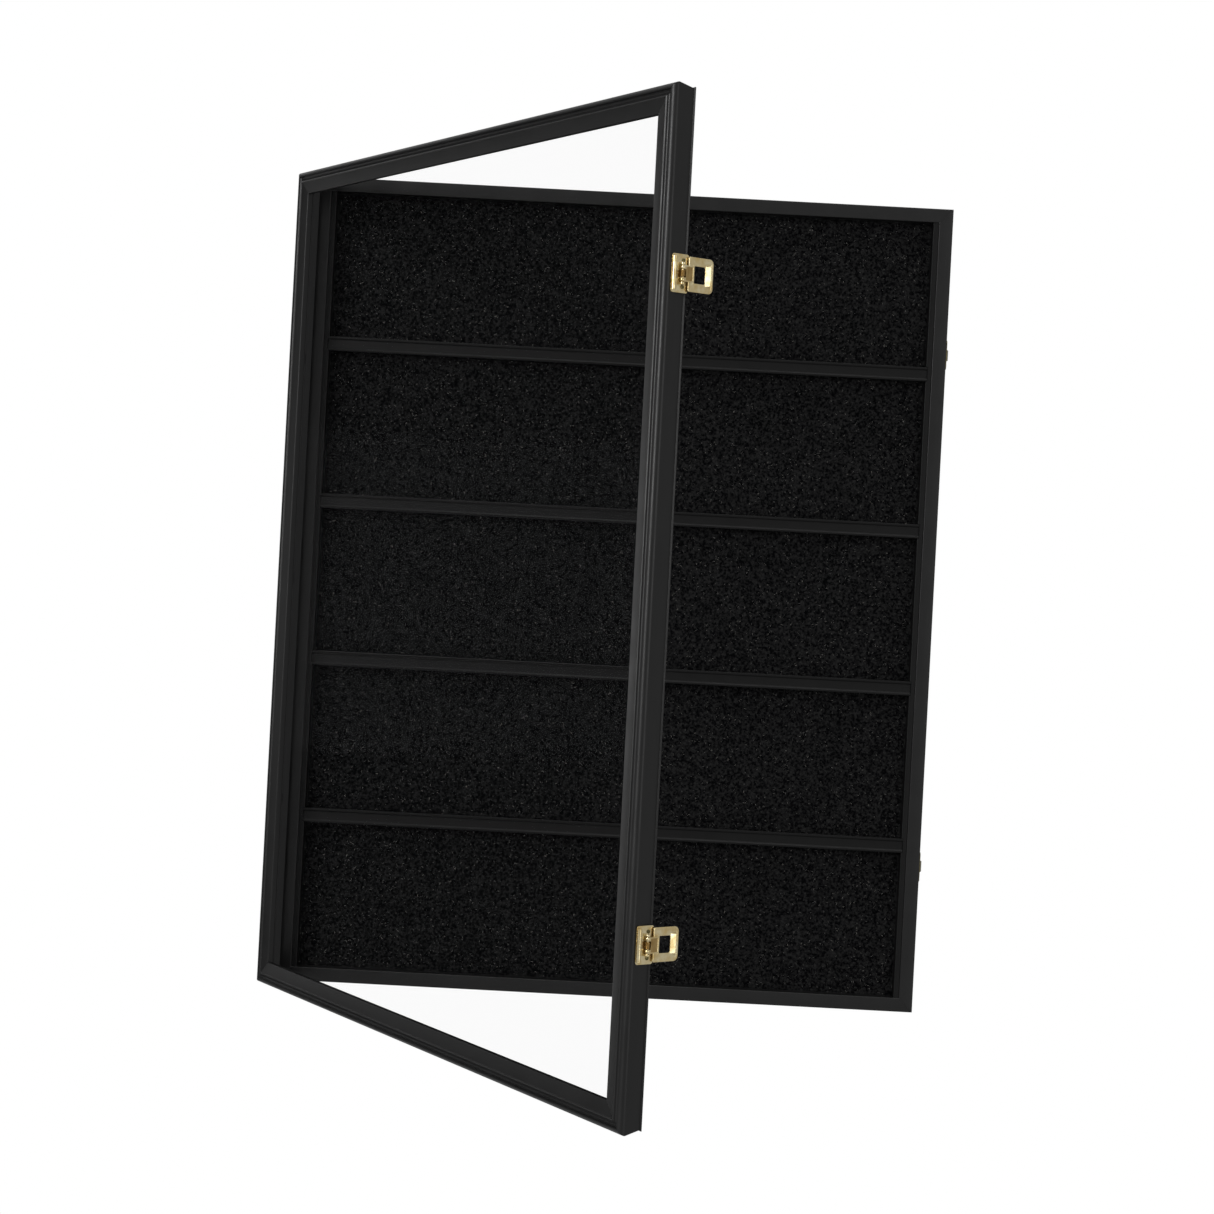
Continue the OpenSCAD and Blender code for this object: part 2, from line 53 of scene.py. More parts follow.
# %% Sizes and places
CASE_W, CASE_H, CASE_D = 394.0, 498.0, 20.0
RAIL_W, LEDGE_W, FELT_SETBACK = 8.5, 2.5, 8.5
WALL_W = RAIL_W - LEDGE_W
BACK_Y = -1.2
FRONT_Y = BACK_Y - CASE_D
MID_Z = 60.0 - CASE_H / 2
DOOR_T, DOOR_RAIL_W, DOOR_GAP = 13.4, 14.0, 0.5
REBATE_WALL, PANE_SETBACK = 5.5, 4.7
OPEN_ANGLE = 55.5
HINGE_X, HINGE_Y = -CASE_W / 2 - 1.4, FRONT_Y - DOOR_GAP / 2
SHELF_H, SHELF_SETBACK, UPRIGHT_W, HOUSING_D = 8.7, 1.0, 3.4, 1.0
INNER_W, INNER_H = CASE_W - 2 * RAIL_W, CASE_H - 2 * RAIL_W
SHELVES = 4
ROW_H = (INNER_H - SHELVES * SHELF_H - 2.0) / (SHELVES + 1)
LATCH_Z = CASE_H / 2 - 90.0
PIVOT_E, PIVOT_H = DOOR_T - 4.35, 1.85
FELT_W, FELT_H, FELT_T = CASE_W - 2 * (WALL_W + 0.4), CASE_H - 2 * (WALL_W + 0.4), 1.0


def moved(x=0.0, y=0.0, z=0.0):
    """A shift given in millimetres."""
    return Matrix.Translation(Vector((x, y, z)) * MM)


AT_CASE = moved(0, FRONT_Y, MID_Z)
AT_DOOR = (
    moved(HINGE_X, HINGE_Y, 0)
    @ Matrix.Rotation(math.radians(-OPEN_ANGLE), 4, "Z")
    @ moved(-HINGE_X, FRONT_Y - DOOR_GAP - DOOR_T - HINGE_Y, MID_Z)
)
print("row opening, mm:", round(ROW_H, 2), "latches at", LATCH_Z, "mm above and below the middle")

# %% [markdown]
# ## Camera, floor and light
# The frame is seen from 1.4 m away and a little above its middle, through a mild telephoto lens, and it
# hangs 3 degrees out of true, so the camera is rolled by that much. The studio has a pale floor, a soft
# light at the front left that draws the bright lines along the mouldings, and pale walls all round. Two
# black flags, as photographers call sheets that keep light off, stand at the left behind the frame: the
# open door's face mirrors that side, and would turn grey without them. Light passes between the two and
# reaches only the part of the moulding that slopes.

# %% Camera
camera_data = bpy.data.cameras.new("studio camera")
camera_data.sensor_width = 36.0
camera_data.lens = 36.0 * 2247 / 1214
camera_data.shift_x = -0.0022
camera_data.shift_y = -0.0429
camera_data.clip_start, camera_data.clip_end = 0.05, 50.0
camera = bpy.data.objects.new("studio camera", camera_data)
bpy.context.scene.collection.objects.link(camera)
bpy.context.scene.camera = camera
camera.matrix_world = (
    moved(-4.7, FRONT_Y - 1391.5, MID_Z + 24.3)
    @ Matrix.Rotation(math.radians(90), 4, "X")
    @ Matrix.Rotation(math.radians(3.0), 4, "Z")
)
print("lens, mm:", round(camera_data.lens, 1))


# %% [markdown]
# Blender mixes colours as amounts of light, and a maker quotes them as sRGB hex values. One function
# turns the one into the other. Nodes are added by one more, which sets their options and their links. A
# link from a node's first output needs only the node, and the new node can feed a socket further on.

# %% Colours and nodes
def hex_colour(code):
    """Linear colour of an sRGB hex value."""
    parts = [int(code[i : i + 2], 16) / 255 for i in (1, 3, 5)]
    return (*[v / 12.92 if v <= 0.04045 else ((v + 0.055) / 1.055) ** 2.4 for v in parts], 1.0)


def add(tree, kind, links=None, feeds=None, **settings):
    """Adds a node. Each input is a value, a socket or a node; feeds is a socket that the new node feeds."""
    node = tree.nodes.new(kind)
    for name, value in settings.items():
        setattr(node, name, value)
    for name, value in (links or {}).items():
        if isinstance(value, bpy.types.Node):
            value = value.outputs[0]
        if isinstance(value, bpy.types.NodeSocket):
            tree.links.new(value, node.inputs[name])
        else:
            node.inputs[name].default_value = value
    if feeds:
        tree.links.new(node.outputs[0], feeds)
    return node


def lay_out(tree):
    """Spreads a tree's nodes so that they can be read when it is opened."""
    for i, node in enumerate(tree.nodes):
        node.location = (220 * (i // 4), -260 * (i % 4))


print("a mid grey lets through this share of the light:", round(hex_colour("#808080")[0], 3))


# %% [markdown]
# Four area lights do the lighting. The floor and the walls shine by themselves, so that they are the
# same pale white everywhere, and none of them is part of the frame.

# %% Soft boxes, walls, floor and black flags
def soft_box(name, at, towards, size, power):
    """A square-cornered area light, in metres and watts."""
    data = bpy.data.lights.new(name, "AREA")
    data.shape, data.size, data.size_y, data.energy = "RECTANGLE", size[0], size[1], power
    lamp = bpy.data.objects.new(name, data)
    bpy.context.scene.collection.objects.link(lamp)
    lamp.location = at
    lamp.rotation_mode = "QUATERNION"
    lamp.rotation_quaternion = (Vector(towards) - Vector(at)).to_track_quat("-Z", "Y")
    return lamp


MIDDLE = (0.0, -0.1, MID_Z * MM)
soft_box("key soft box", (-1.7, -1.9, 0.5), MIDDLE, (0.9, 1.6), 42)
soft_box("tall strip box, left and behind", (-1.4, 1.4, 0.0), MIDDLE, (0.5, 2.4), 4.0)
soft_box("low box, front right", (1.35, -1.9, -0.1), (0.02, -0.35, MID_Z * MM), (0.7, 1.4), 6)
soft_box("overhead", (0.2, -0.5, 1.7), MIDDLE, (1.4, 1.0), 14)

world = bpy.data.worlds.new("pale studio")
bpy.context.scene.world = world
world.use_nodes = True
world.node_tree.nodes.clear()
rays = add(world.node_tree, "ShaderNodeLightPath")
strength = add(world.node_tree, "ShaderNodeMapRange", {"Value": rays, "To Min": 0.5, "To Max": 1.0})
pale = add(world.node_tree, "ShaderNodeBackground", {"Color": (1, 1, 1, 1), "Strength": strength})
add(world.node_tree, "ShaderNodeOutputWorld", {"Surface": pale})


def studio_surface(name, kind, **values):
    """A material of one plain shader."""
    made = bpy.data.materials.new(name)
    made.use_nodes = True
    made.node_tree.nodes.clear()
    shader = add(made.node_tree, kind, values)
    add(made.node_tree, "ShaderNodeOutputMaterial", {"Surface": shader})
    return made


def stage_plane(name, at, size, surface):
    """A plane that isn't part of the frame."""
    bpy.ops.mesh.primitive_plane_add(size=1, location=at)
    plane = bpy.context.object
    plane.name = name
    plane.scale = (*size, 1.0)
    plane.data.materials.append(surface)
    return plane


FLOOR_Z, FLOOR_SIZE = -1.2, 30
floor_paint = studio_surface("white studio floor paint", "ShaderNodeEmission",
                             Color=(1, 1, 1, 1), Strength=1.0)
floor = stage_plane("studio_floor", (0, 0, FLOOR_Z), (FLOOR_SIZE, FLOOR_SIZE), floor_paint)
floor.visible_diffuse = floor.visible_glossy = False

flag_cloth = studio_surface("black flag cloth", "ShaderNodeBsdfDiffuse", Color=hex_colour("#050505"))
FLAG_X, FLAG_Y, FLAG_WIDE = -2.2, 1.3, 2.4
for level, low, high in (("upper", 0.02, 1.6), ("lower", -1.8, -0.52)):
    flag = stage_plane(level + "_black_flag", (FLAG_X, FLAG_Y, (low + high) / 2), (FLAG_WIDE, high - low),
                       flag_cloth)
    flag.rotation_mode = "QUATERNION"
    flag.rotation_quaternion = Vector((-FLAG_X, MIDDLE[1] - FLAG_Y, 0)).to_track_quat("-Z", "Y")
    flag.visible_camera = False
bpy.context.scene.view_settings.view_transform = "Standard"


# %% [markdown]
# ## Finishes
# Each finish is one material, named for what it is and how its surface was made. They share a start: a
# Principled shader, whose steady values are set on its own sockets, and a place in the pattern, which is
# the mesh's own coordinates in metres, scaled so that a pattern's size can be given in millimetres.

# %% A finish to start from
FINISHES = []


def finish(name, colour, roughness, **steady):
    """A new material: its tree, its shader and its place in the pattern."""
    made = bpy.data.materials.new(name)
    made.use_nodes = True
    tree = made.node_tree
    tree.nodes.clear()
    shader = add(tree, "ShaderNodeBsdfPrincipled", {"Base Color": hex_colour(colour), "Roughness": roughness})
    for socket, value in steady.items():
        shader.inputs[socket.replace("_", " ")].default_value = value
    add(tree, "ShaderNodeOutputMaterial", {"Surface": shader})
    place = add(tree, "ShaderNodeTexCoord").outputs["Object"]
    FINISHES.append(made)
    print("finish:", name)
    return made, tree, shader, place


# %% [markdown]
# No finish is the same all over. Two steps make it vary: a pattern of cloudy patches of a real size,
# which can be drawn out to streaks, and a way to let the pattern move one of the shader's values between
# two ends. The middle of the noise is used, because its darkest and lightest values are rare.

# %% Patterns, and values that follow them
EVEN = (1, 1, 1)


def patches(tree, place, size_mm, stretch=EVEN, detail=2.0, **more):
    """A pattern whose patches are about size_mm across, drawn out by stretch."""
    scale = [1 / (size_mm * MM * s) for s in stretch]
    mapped = add(tree, "ShaderNodeMapping", {"Vector": place, "Scale": scale})
    return add(tree, "ShaderNodeTexNoise", {"Vector": mapped, "Scale": 1.0, "Detail": detail, **more})


def vary(tree, shader, socket, pattern, low, high, start=0.3, end=0.7):
    """Moves a shader's number or hex colour from low to high as the pattern goes from start to end."""
    colours = isinstance(low, str)
    ends = (0.0, 1.0) if colours else (low, high)
    value = add(tree, "ShaderNodeMapRange", {
        "Value": pattern, "From Min": start, "From Max": end, "To Min": ends[0], "To Max": ends[1]})
    if colours:
        value = add(tree, "ShaderNodeMix", {"Factor": value, "A": hex_colour(low), "B": hex_colour(high)},
                    data_type="RGBA")
    tree.links.new(value.outputs["Result"], shader.inputs[socket])


# %% [markdown]
# The mouldings are machined softwood under satin black lacquer. The lacquer hides the colour of the
# wood but not all of its grain: long low ripples run with each rail, and the sheen wanders a little
# where the spray lay thicker. Rails run in four directions, so the grain follows an attribute that the
# moulding's own tree leaves on the mesh: depth, distance across and distance along, in metres.

# %% Satin black lacquer on machined wood
lacquer, tree, shader, place = finish(
    "satin black lacquer on machined pine", "#111111", 0.36, IOR=1.5, Specular_IOR_Level=0.3)
run = add(tree, "ShaderNodeAttribute", attribute_name="run").outputs["Vector"]
grain = patches(tree, run, 0.9, (1, 1, 30), 3.0)
spray = patches(tree, place, 14.0)
vary(tree, shader, "Roughness", spray, 0.31, 0.41)
vary(tree, shader, "Base Color", grain, "#0e0e0e", "#141414", 0.0, 1.0)
add(tree, "ShaderNodeBump", {"Height": grain, "Distance": 0.02 * MM, "Strength": 0.5},
    shader.inputs["Normal"])

# %% [markdown]
# The lining strips and ledges are extruded plastic with a matt black skin. Extruding leaves faint lines
# along the strip, about half a millimetre apart.

# %% Extruded black plastic
strip_plastic, tree, shader, place = finish(
    "extruded matt black styrene", "#0b0b0b", 0.42, IOR=1.55, Specular_IOR_Level=0.14)
run = add(tree, "ShaderNodeAttribute", attribute_name="run").outputs["Vector"]
lines = patches(tree, run, 0.5, (1, 1, 200))
vary(tree, shader, "Roughness", patches(tree, place, 9.0), 0.38, 0.48)
add(tree, "ShaderNodeBump", {"Height": lines, "Distance": 0.01 * MM, "Strength": 0.5},
    shader.inputs["Normal"])

# %% [markdown]
# The back is lined with pressed black felt. Felt has no weave: short fibres lie in every direction, so
# it looks grainy, swallows light, and glints only where a fibre end catches it. The grain is drawn at
# 1.5 mm, coarser than real fibres, which would be too fine to show at all.

# %% Pressed black felt
felt_cloth, tree, shader, place = finish(
    "pressed black felt", "#0a0a0b", 0.95, IOR=1.45, Specular_IOR_Level=0.04,
    Sheen_Weight=0.01, Sheen_Roughness=0.5)
mottle = patches(tree, place, 1.5, EVEN, 4.0, Roughness=0.75)
vary(tree, shader, "Base Color", mottle, "#000001", "#222222", 0.42, 0.66)
uneven = add(tree, "ShaderNodeMath", {0: mottle, 1: patches(tree, place, 7.0)}, operation="MULTIPLY")
add(tree, "ShaderNodeBump", {"Height": uneven, "Distance": 0.9 * MM, "Strength": 0.8},
    shader.inputs["Normal"])

fibre, tree, shader, place = finish("loose wool fibre ends", "#4c4a4a", 0.8, IOR=1.5, Sheen_Weight=0.3)
vary(tree, shader, "Base Color", patches(tree, place, 3.0), "#1e1e1f", "#6b6761", 0.35, 0.65)

# %% [markdown]
# The latches and hinges are stamped from sheet steel and flash plated with pale brass, which is bright
# but not optically flat: rolling marks soften it, and the plating is a little browner in places. The
# sunk panel of each tongue takes a darker, browner copy of the brass: painted dark reflection and shade.
# The catches and nail heads are given a darker, duller brass.

# %% Pale brass plate, a copy with painted dark reflection, and a darker duller one
brass, tree, shader, place = finish("bright pale brass plate on stamped steel", "#dcd3b4", 0.2, Metallic=1.0)
stain = patches(tree, place, 4.0, EVEN, 3.0)
rolling = patches(tree, place, 0.25, (1, 1, 8))
vary(tree, shader, "Base Color", stain, "#e2d6b0", "#c8ae74")
vary(tree, shader, "Roughness", stain, 0.14, 0.28)
add(tree, "ShaderNodeBump", {"Height": rolling, "Distance": 0.012 * MM, "Strength": 0.6},
    shader.inputs["Normal"])

# A darker, browner copy of the brass that paints the dark reflection and shade on each tongue's panel.
brass_painted_dark_reflection, tree, shader, place = finish(
    "pale brass plate browned under the rolled tongue", "#a98f5e", 0.3, Metallic=1.0)
panel_mottle = patches(tree, place, 1.2, (1, 1, 3), 3.0)
vary(tree, shader, "Base Color", panel_mottle, "#b39a68", "#937647")
vary(tree, shader, "Roughness", panel_mottle, 0.24, 0.38)

# A darker, duller brass for the catches and for the nails of the latches and catches.
darker_duller_brass, tree, shader, place = finish("tarnished pale brass plate", "#6f6744", 0.42, Metallic=1.0)
dull_mottle = patches(tree, place, 1.5, EVEN, 3.0)
vary(tree, shader, "Base Color", dull_mottle, "#7a7048", "#4a4630")
vary(tree, shader, "Roughness", dull_mottle, 0.34, 0.5)

# %% [markdown]
# The springs are drawn wire, plated before it was wound, so it is darker where the die scraped it.

# %% Plated spring wire
spring_wire, tree, shader, place = finish("brass plated spring wire", "#a8874e", 0.3, Metallic=1.0)
drawn = patches(tree, place, 0.2, EVEN, 3.0)
vary(tree, shader, "Roughness", drawn, 0.22, 0.4)
vary(tree, shader, "Base Color", drawn, "#b8975c", "#7c5f34")

# %% [markdown]
# Hangers, screws and points are zinc plated steel. Zinc dulls to a soft grey with faint cloudy
# crystals a few millimetres across, which a Voronoi pattern draws well. The points that hold the pane
# are blackened with oil instead, so that they do not show through it.

# %% Zinc plated and blackened steel
zinc, tree, shader, place = finish("zinc plated pressed steel", "#b4b7ba", 0.36, Metallic=1.0)
crystals = add(tree, "ShaderNodeMapping", {"Vector": place, "Scale": (1 / (3.0 * MM),) * 3})
spangle = add(tree, "ShaderNodeTexVoronoi", {"Vector": crystals, "Scale": 1.0})
cloud = patches(tree, place, 1.2, EVEN, 4.0)
vary(tree, shader, "Roughness", spangle, 0.3, 0.46, 0.0, 0.8)
vary(tree, shader, "Base Color", cloud, "#bcbfc2", "#9a9da1")
add(tree, "ShaderNodeBump", {"Height": cloud, "Distance": 0.01 * MM, "Strength": 0.4},
    shader.inputs["Normal"])

blackened, tree, shader, place = finish("oil blackened sheet steel", "#101010", 0.55, Metallic=0.6)
vary(tree, shader, "Roughness", patches(tree, place, 1.4, EVEN, 3.0), 0.48, 0.65)

# %% [markdown]
# Behind the felt is black fibreboard, and behind that a hardboard back: brown wood fibre, hot pressed on
# a smooth plate and sealed with thin dark paint, through which darker and paler fibres still show.

# %% Boards
back_paint, tree, shader, place = finish("dark painted hardboard", "#3a342e", 0.6)
fibres = patches(tree, place, 0.8, (6, 1, 1), 5.0, Distortion=1.5)
cross = patches(tree, place, 0.8, (1, 1, 6), 5.0, Distortion=1.5)
both_ways = add(tree, "ShaderNodeMath", {0: fibres, 1: cross}, operation="MAXIMUM")
vary(tree, shader, "Base Color", both_ways, "#2e2924", "#54493d", 0.4, 0.75)
vary(tree, shader, "Roughness", both_ways, 0.5, 0.7)
add(tree, "ShaderNodeBump", {"Height": both_ways, "Distance": 0.05 * MM, "Strength": 0.5},
    shader.inputs["Normal"])

fibreboard, tree, shader, place = finish("sawn black fibreboard", "#1c1b1a", 0.85)
dust = patches(tree, place, 0.7, EVEN, 5.0)
vary(tree, shader, "Base Color", dust, "#171615", "#2a2725")
add(tree, "ShaderNodeBump", {"Height": dust, "Distance": 0.08 * MM, "Strength": 0.6},
    shader.inputs["Normal"])

# %% [markdown]
# The bumpers are moulded rubber, dusted with talc that leaves dull patches. The pane is clear acrylic
# with a coat that stops reflections, so it is nearly all see-through, with only the faintest smears.

# %% Rubber and the clear pane
rubber, tree, shader, place = finish("moulded black rubber", "#1b1b1b", 0.7, IOR=1.52)
talc = patches(tree, place, 0.6, EVEN, 4.0)
vary(tree, shader, "Roughness", talc, 0.6, 0.82)
add(tree, "ShaderNodeBump", {"Height": talc, "Distance": 0.02 * MM, "Strength": 0.5},
    shader.inputs["Normal"])

acrylic, tree, shader, place = finish(
    "clear cast acrylic with a non-reflecting coat", "#0c0e0e", 0.05, IOR=1.49, Alpha=0.02)
vary(tree, shader, "Roughness", patches(tree, place, 30.0, (1, 1, 3), 3.0), 0.03, 0.08)
for material in FINISHES:
    lay_out(material.node_tree)
print("finishes:", len(FINISHES))


# %% [markdown]
# Repeated and long parts come from Geometry Nodes trees. Every tree takes geometry, its own named sizes
# and a finish, and ends in Realize Instances and Set Material, so that its result is one plain mesh.

# %% How every tree starts and ends
def new_tree(name, inputs):
    """A tree that takes geometry, named inputs and a finish. Returns it and what it is given."""
    tree = bpy.data.node_groups.new(name, "GeometryNodeTree")
    for socket_name, kind in {"Geometry": "Geometry", **inputs, "Finish": "Material"}.items():
        tree.interface.new_socket(socket_name, in_out="INPUT", socket_type="NodeSocket" + kind)
    tree.interface.new_socket("Geometry", in_out="OUTPUT", socket_type="NodeSocketGeometry")
    return tree, add(tree, "NodeGroupInput").outputs


def end_tree(tree, given, geometry):
    """Ends a tree with real geometry in the given finish."""
    real = add(tree, "GeometryNodeRealizeInstances", {"Geometry": geometry})
    painted = add(tree, "GeometryNodeSetMaterial", {"Geometry": real, "Material": given["Finish"]})
    add(tree, "NodeGroupOutput", {"Geometry": painted})
    lay_out(tree)
    print("tree:", tree.name, len(tree.nodes), "nodes")


# %% [markdown]
# ## Mouldings and ledges
# Every rail, upright and ledge is one section carried along a straight line, and the rails are then cut
# at 45 degrees. That is a rule, so one Geometry Nodes tree makes them all: the section comes in as a
# loop of edges, Curve to Mesh carries it along, and a Set Position slides each point towards the middle
# by as much as the mitre takes there. The same tree notes where each point lies on the strip for the
# grain.

# %% A tree that runs a section out and cuts its mitres
STATIONS = 13
tree, given = new_tree("section run out with mitred ends", {"Length": "Float", "Mitre": "Float"})
half = add(tree, "ShaderNodeMath", {0: given["Length"], 1: 0.5}, operation="MULTIPLY")
minus_half = add(tree, "ShaderNodeMath", {0: half, 1: -1.0}, operation="MULTIPLY")
line = add(tree, "GeometryNodeCurvePrimitiveLine", {
    "Start": add(tree, "ShaderNodeCombineXYZ", {"Z": minus_half}),
    "End": add(tree, "ShaderNodeCombineXYZ", {"Z": half})})
path = add(tree, "GeometryNodeResampleCurve", {"Curve": line, "Count": STATIONS})
section = add(tree, "GeometryNodeMeshToCurve", {"Mesh": given["Geometry"]})
swept = add(tree, "GeometryNodeCurveToMesh", {"Curve": path, "Profile Curve": section, "Fill Caps": True})
position = add(tree, "GeometryNodeInputPosition")
noted = add(tree, "GeometryNodeStoreNamedAttribute", {"Geometry": swept, "Name": "run", "Value": position},
            data_type="FLOAT_VECTOR", domain="POINT")
at = add(tree, "ShaderNodeSeparateXYZ", {"Vector": position}).outputs
taken = add(tree, "ShaderNodeMath", {0: at["Y"], 1: given["Mitre"]}, operation="MULTIPLY")
share = add(tree, "ShaderNodeMath", {0: taken, 1: half}, operation="DIVIDE")
slide = add(tree, "ShaderNodeMath", {0: share, 1: at["Z"]}, operation="MULTIPLY")
back = add(tree, "ShaderNodeMath", {0: slide, 1: -1.0}, operation="MULTIPLY")
offset = add(tree, "ShaderNodeCombineXYZ", {"Z": back})
cut = add(tree, "GeometryNodeSetPosition", {"Geometry": noted, "Offset": offset})
end_tree(tree, given, cut)
strip_tree = tree


# %% [markdown]
# A tree runs as a modifier. Its result is copied to a plain mesh, and the modifier's object is thrown
# away. A finished mesh is then carried to its place, so that its object can stay at the origin.

# %% Small helpers for meshes and trees
def linked(name, mesh):
    """A new object for a mesh, at the origin."""
    made = bpy.data.objects.new(name, mesh)
    bpy.context.scene.collection.objects.link(made)
    return made


def shaped(obj, angle=32):
    """Smooth faces that break to an edge past an angle."""
    obj.data.shade_smooth()
    obj.data.set_sharp_from_angle(angle=math.radians(angle))
    return obj


def applied(obj):
    """The object's mesh as its modifiers leave it."""
    return bpy.data.meshes.new_from_object(obj.evaluated_get(bpy.context.evaluated_depsgraph_get()))


def grown(name, seed_mesh, tree, values):
    """Runs a tree on a mesh with its inputs set, and returns the result as a plain mesh object."""
    source = linked(name + "_source", seed_mesh)
    modifier = source.modifiers.new("tree", "NODES")
    modifier.node_group = tree
    for item in tree.interface.items_tree:
        if item.in_out == "INPUT" and item.name in values:
            modifier[item.identifier] = values[item.name]
    plain = applied(source)
    bpy.data.objects.remove(source)
    plain.name = name
    return linked(name, plain)


def placed(obj, matrix):
    """Carries a mesh to its place and leaves the object at the origin, with its faces outwards."""
    obj.data.transform(matrix)
    shape = bmesh.new()
    shape.from_mesh(obj.data)
    bmesh.ops.remove_doubles(shape, verts=shape.verts, dist=1e-7)
    bmesh.ops.recalc_face_normals(shape, faces=shape.faces)
    shape.to_mesh(obj.data)
    shape.free()
    return obj


def stands_for(obj, body, slot, *nodes):
    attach(obj, body)
    if nodes:
        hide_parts(*nodes)
    return obj


# %% [markdown]
# A section is a list of points: depth behind the front, then distance from the outer side. Rounds are
# drawn as short arcs. The case rail is a plain bar with eased edges and a step for the lining. The door
# moulding is richer: an outer round, a cove, a raised bead, and a face that slopes in to the pane.

# %% Sections of the rails
def arc(x, y, r, start, end, steps):
    """Points on part of a circle, angles in degrees."""
    turns = [math.radians(start + (end - start) * i / steps) for i in range(steps + 1)]
    return [(x + r * math.cos(a), y + r * math.sin(a)) for a in turns]


def eased(points, r, steps=3):
    """A closed section with each of its corners rounded by r, or by its own radius."""
    out = []
    for i, corner in enumerate(points):
        here = Vector(corner[:2])
        radius = corner[2] if len(corner) > 2 else r
        to_last = (Vector(points[i - 1][:2]) - here).normalized()
        to_next = (Vector(points[(i + 1) % len(points)][:2]) - here).normalized()
        angle = to_last.angle(to_next)
        if radius <= 0 or angle > math.radians(175):
            out.append(tuple(here))
            continue
        reach = radius / math.tan(angle / 2)
        first, last = here + to_last * reach, here + to_next * reach
        for k in range(steps + 1):
            t = k / steps
            out.append(tuple(first.lerp(here, t).lerp(here.lerp(last, t), t)))
    return out


ROUND = 0.5
case_section = (
    arc(ROUND, ROUND, ROUND, 270, 180, 6)
    + arc(ROUND, RAIL_W - ROUND, ROUND, 180, 90, 6)
    + eased([(FELT_SETBACK, RAIL_W, 0.2), (FELT_SETBACK, WALL_W, 0.1), (CASE_D, WALL_W, 0.25),
             (CASE_D, 0, 0.4)], 0.2)
)
CREST_R, COVE_R, COVE_SINK, LIP_FALL, LIP_R = 3.0, 1.5, 0.2, 1.0, 0.5
cove_half = math.degrees(math.acos(COVE_SINK / COVE_R))
bead_q = CREST_R + 2 * COVE_R
door_section = (
    arc(CREST_R, CREST_R, CREST_R, 270, 180, 14)
    + arc(-COVE_SINK, CREST_R + COVE_R, COVE_R, -cove_half, 74.5, 12)
    + [(-0.02, bead_q + 0.3), (-0.15, bead_q + 0.52), (-0.19, bead_q + 0.66), (-0.16, bead_q + 0.8),
       (-0.06, bead_q + 0.92), (0.06, bead_q + 1.0)]
    + arc(LIP_FALL + LIP_R, DOOR_RAIL_W - LIP_R, LIP_R, 172, 90, 6)
    + eased([(PANE_SETBACK, DOOR_RAIL_W, 0.3), (PANE_SETBACK, REBATE_WALL, 0.1),
             (DOOR_T, REBATE_WALL, 0.25), (DOOR_T, 0, 0.5)], 0.2)
)
print("section points: case", len(case_section), "door", len(door_section))


# %% [markdown]
# A rail is made lying down: depth on X, across on Y and its run on Z. It is then turned about the middle
# of its frame to the side where it belongs. The joints keep a hair of a gap, as cut and glued wood does.

# %% Run out the rails of the case and the door
def section_mesh(points):
    """A closed loop of edges in metres."""
    mesh = bpy.data.meshes.new("section")
    count = len(points)
    mesh.from_pydata([(x * MM, y * MM, 0) for x, y in points],
                     [(i, (i + 1) % count) for i in range(count)], [])
    return mesh


def strip(name, points, length, mitre, material):
    """One strip: depth on X, across on Y and its run on Z."""
    return grown(name, section_mesh(points), strip_tree,
                 {"Length": length * MM, "Mitre": mitre, "Finish": material})


LIE_ALONG = Matrix(((0, 0, 1, 0), (1, 0, 0, 0), (0, 1, 0, 0), (0, 0, 0, 1)))
MITRE_GAP = 0.04


def side_of_frame(turn, half):
    """The place of one side of a frame: its outer edge at half from the middle, turned about it."""
    return Matrix.Rotation(math.radians(turn), 4, "Y") @ moved(z=-half) @ LIE_ALONG


for frame_name, at_place, section_points, body, sides in (
    ("case", AT_CASE, case_section, "case",
     (("top_rail", 180), ("bottom_rail", 0), ("left_rail", 90), ("right_rail", -90))),
    ("door", AT_DOOR, door_section, "door",
     (("top_rail", 180), ("bottom_rail", 0), ("hinge_stile", 90), ("latch_stile", -90))),
):
    for side, turn in sides:
        upright = abs(turn) == 90
        length, half_way = (CASE_H, CASE_W / 2) if upright else (CASE_W, CASE_H / 2)
        node_name = f"{frame_name}_{side}"
        rail = strip("moulded_" + node_name, section_points, length - 2 * MITRE_GAP, 1.0, lacquer)
        placed(rail, at_place @ side_of_frame(turn, half_way))
        stands_for(shaped(rail), body, "black_lacquer", node_name)
        print(rail.name, len(rail.data.polygons), "faces")


# %% [markdown]
# The uprights are flat strips with a shallow housing for the end of each ledge. The ledges have two low
# lips with a channel between them, and a seat behind each lip where a boxed coin stands.

# %% Uprights and ledges
def boxes(name, corners):
    """Closed boxes, each given by its lowest and highest corner in millimetres."""
    shape = bmesh.new()
    for low, high in corners:
        middle = [(a + b) / 2 * MM for a, b in zip(low, high)]
        size = [(b - a) * MM for a, b in zip(low, high)]
        placing = Matrix.Translation(middle) @ Matrix.Diagonal((*size, 1))
        bmesh.ops.create_cube(shape, size=1.0, matrix=placing)
    mesh = bpy.data.meshes.new(name)
    shape.to_mesh(mesh)
    shape.free()
    return linked(name, mesh)


def shelf_z(i):
    """Height of a ledge's middle above the middle of the case."""
    return ((SHELVES + 1) / 2 - i) * (ROW_H + SHELF_H)


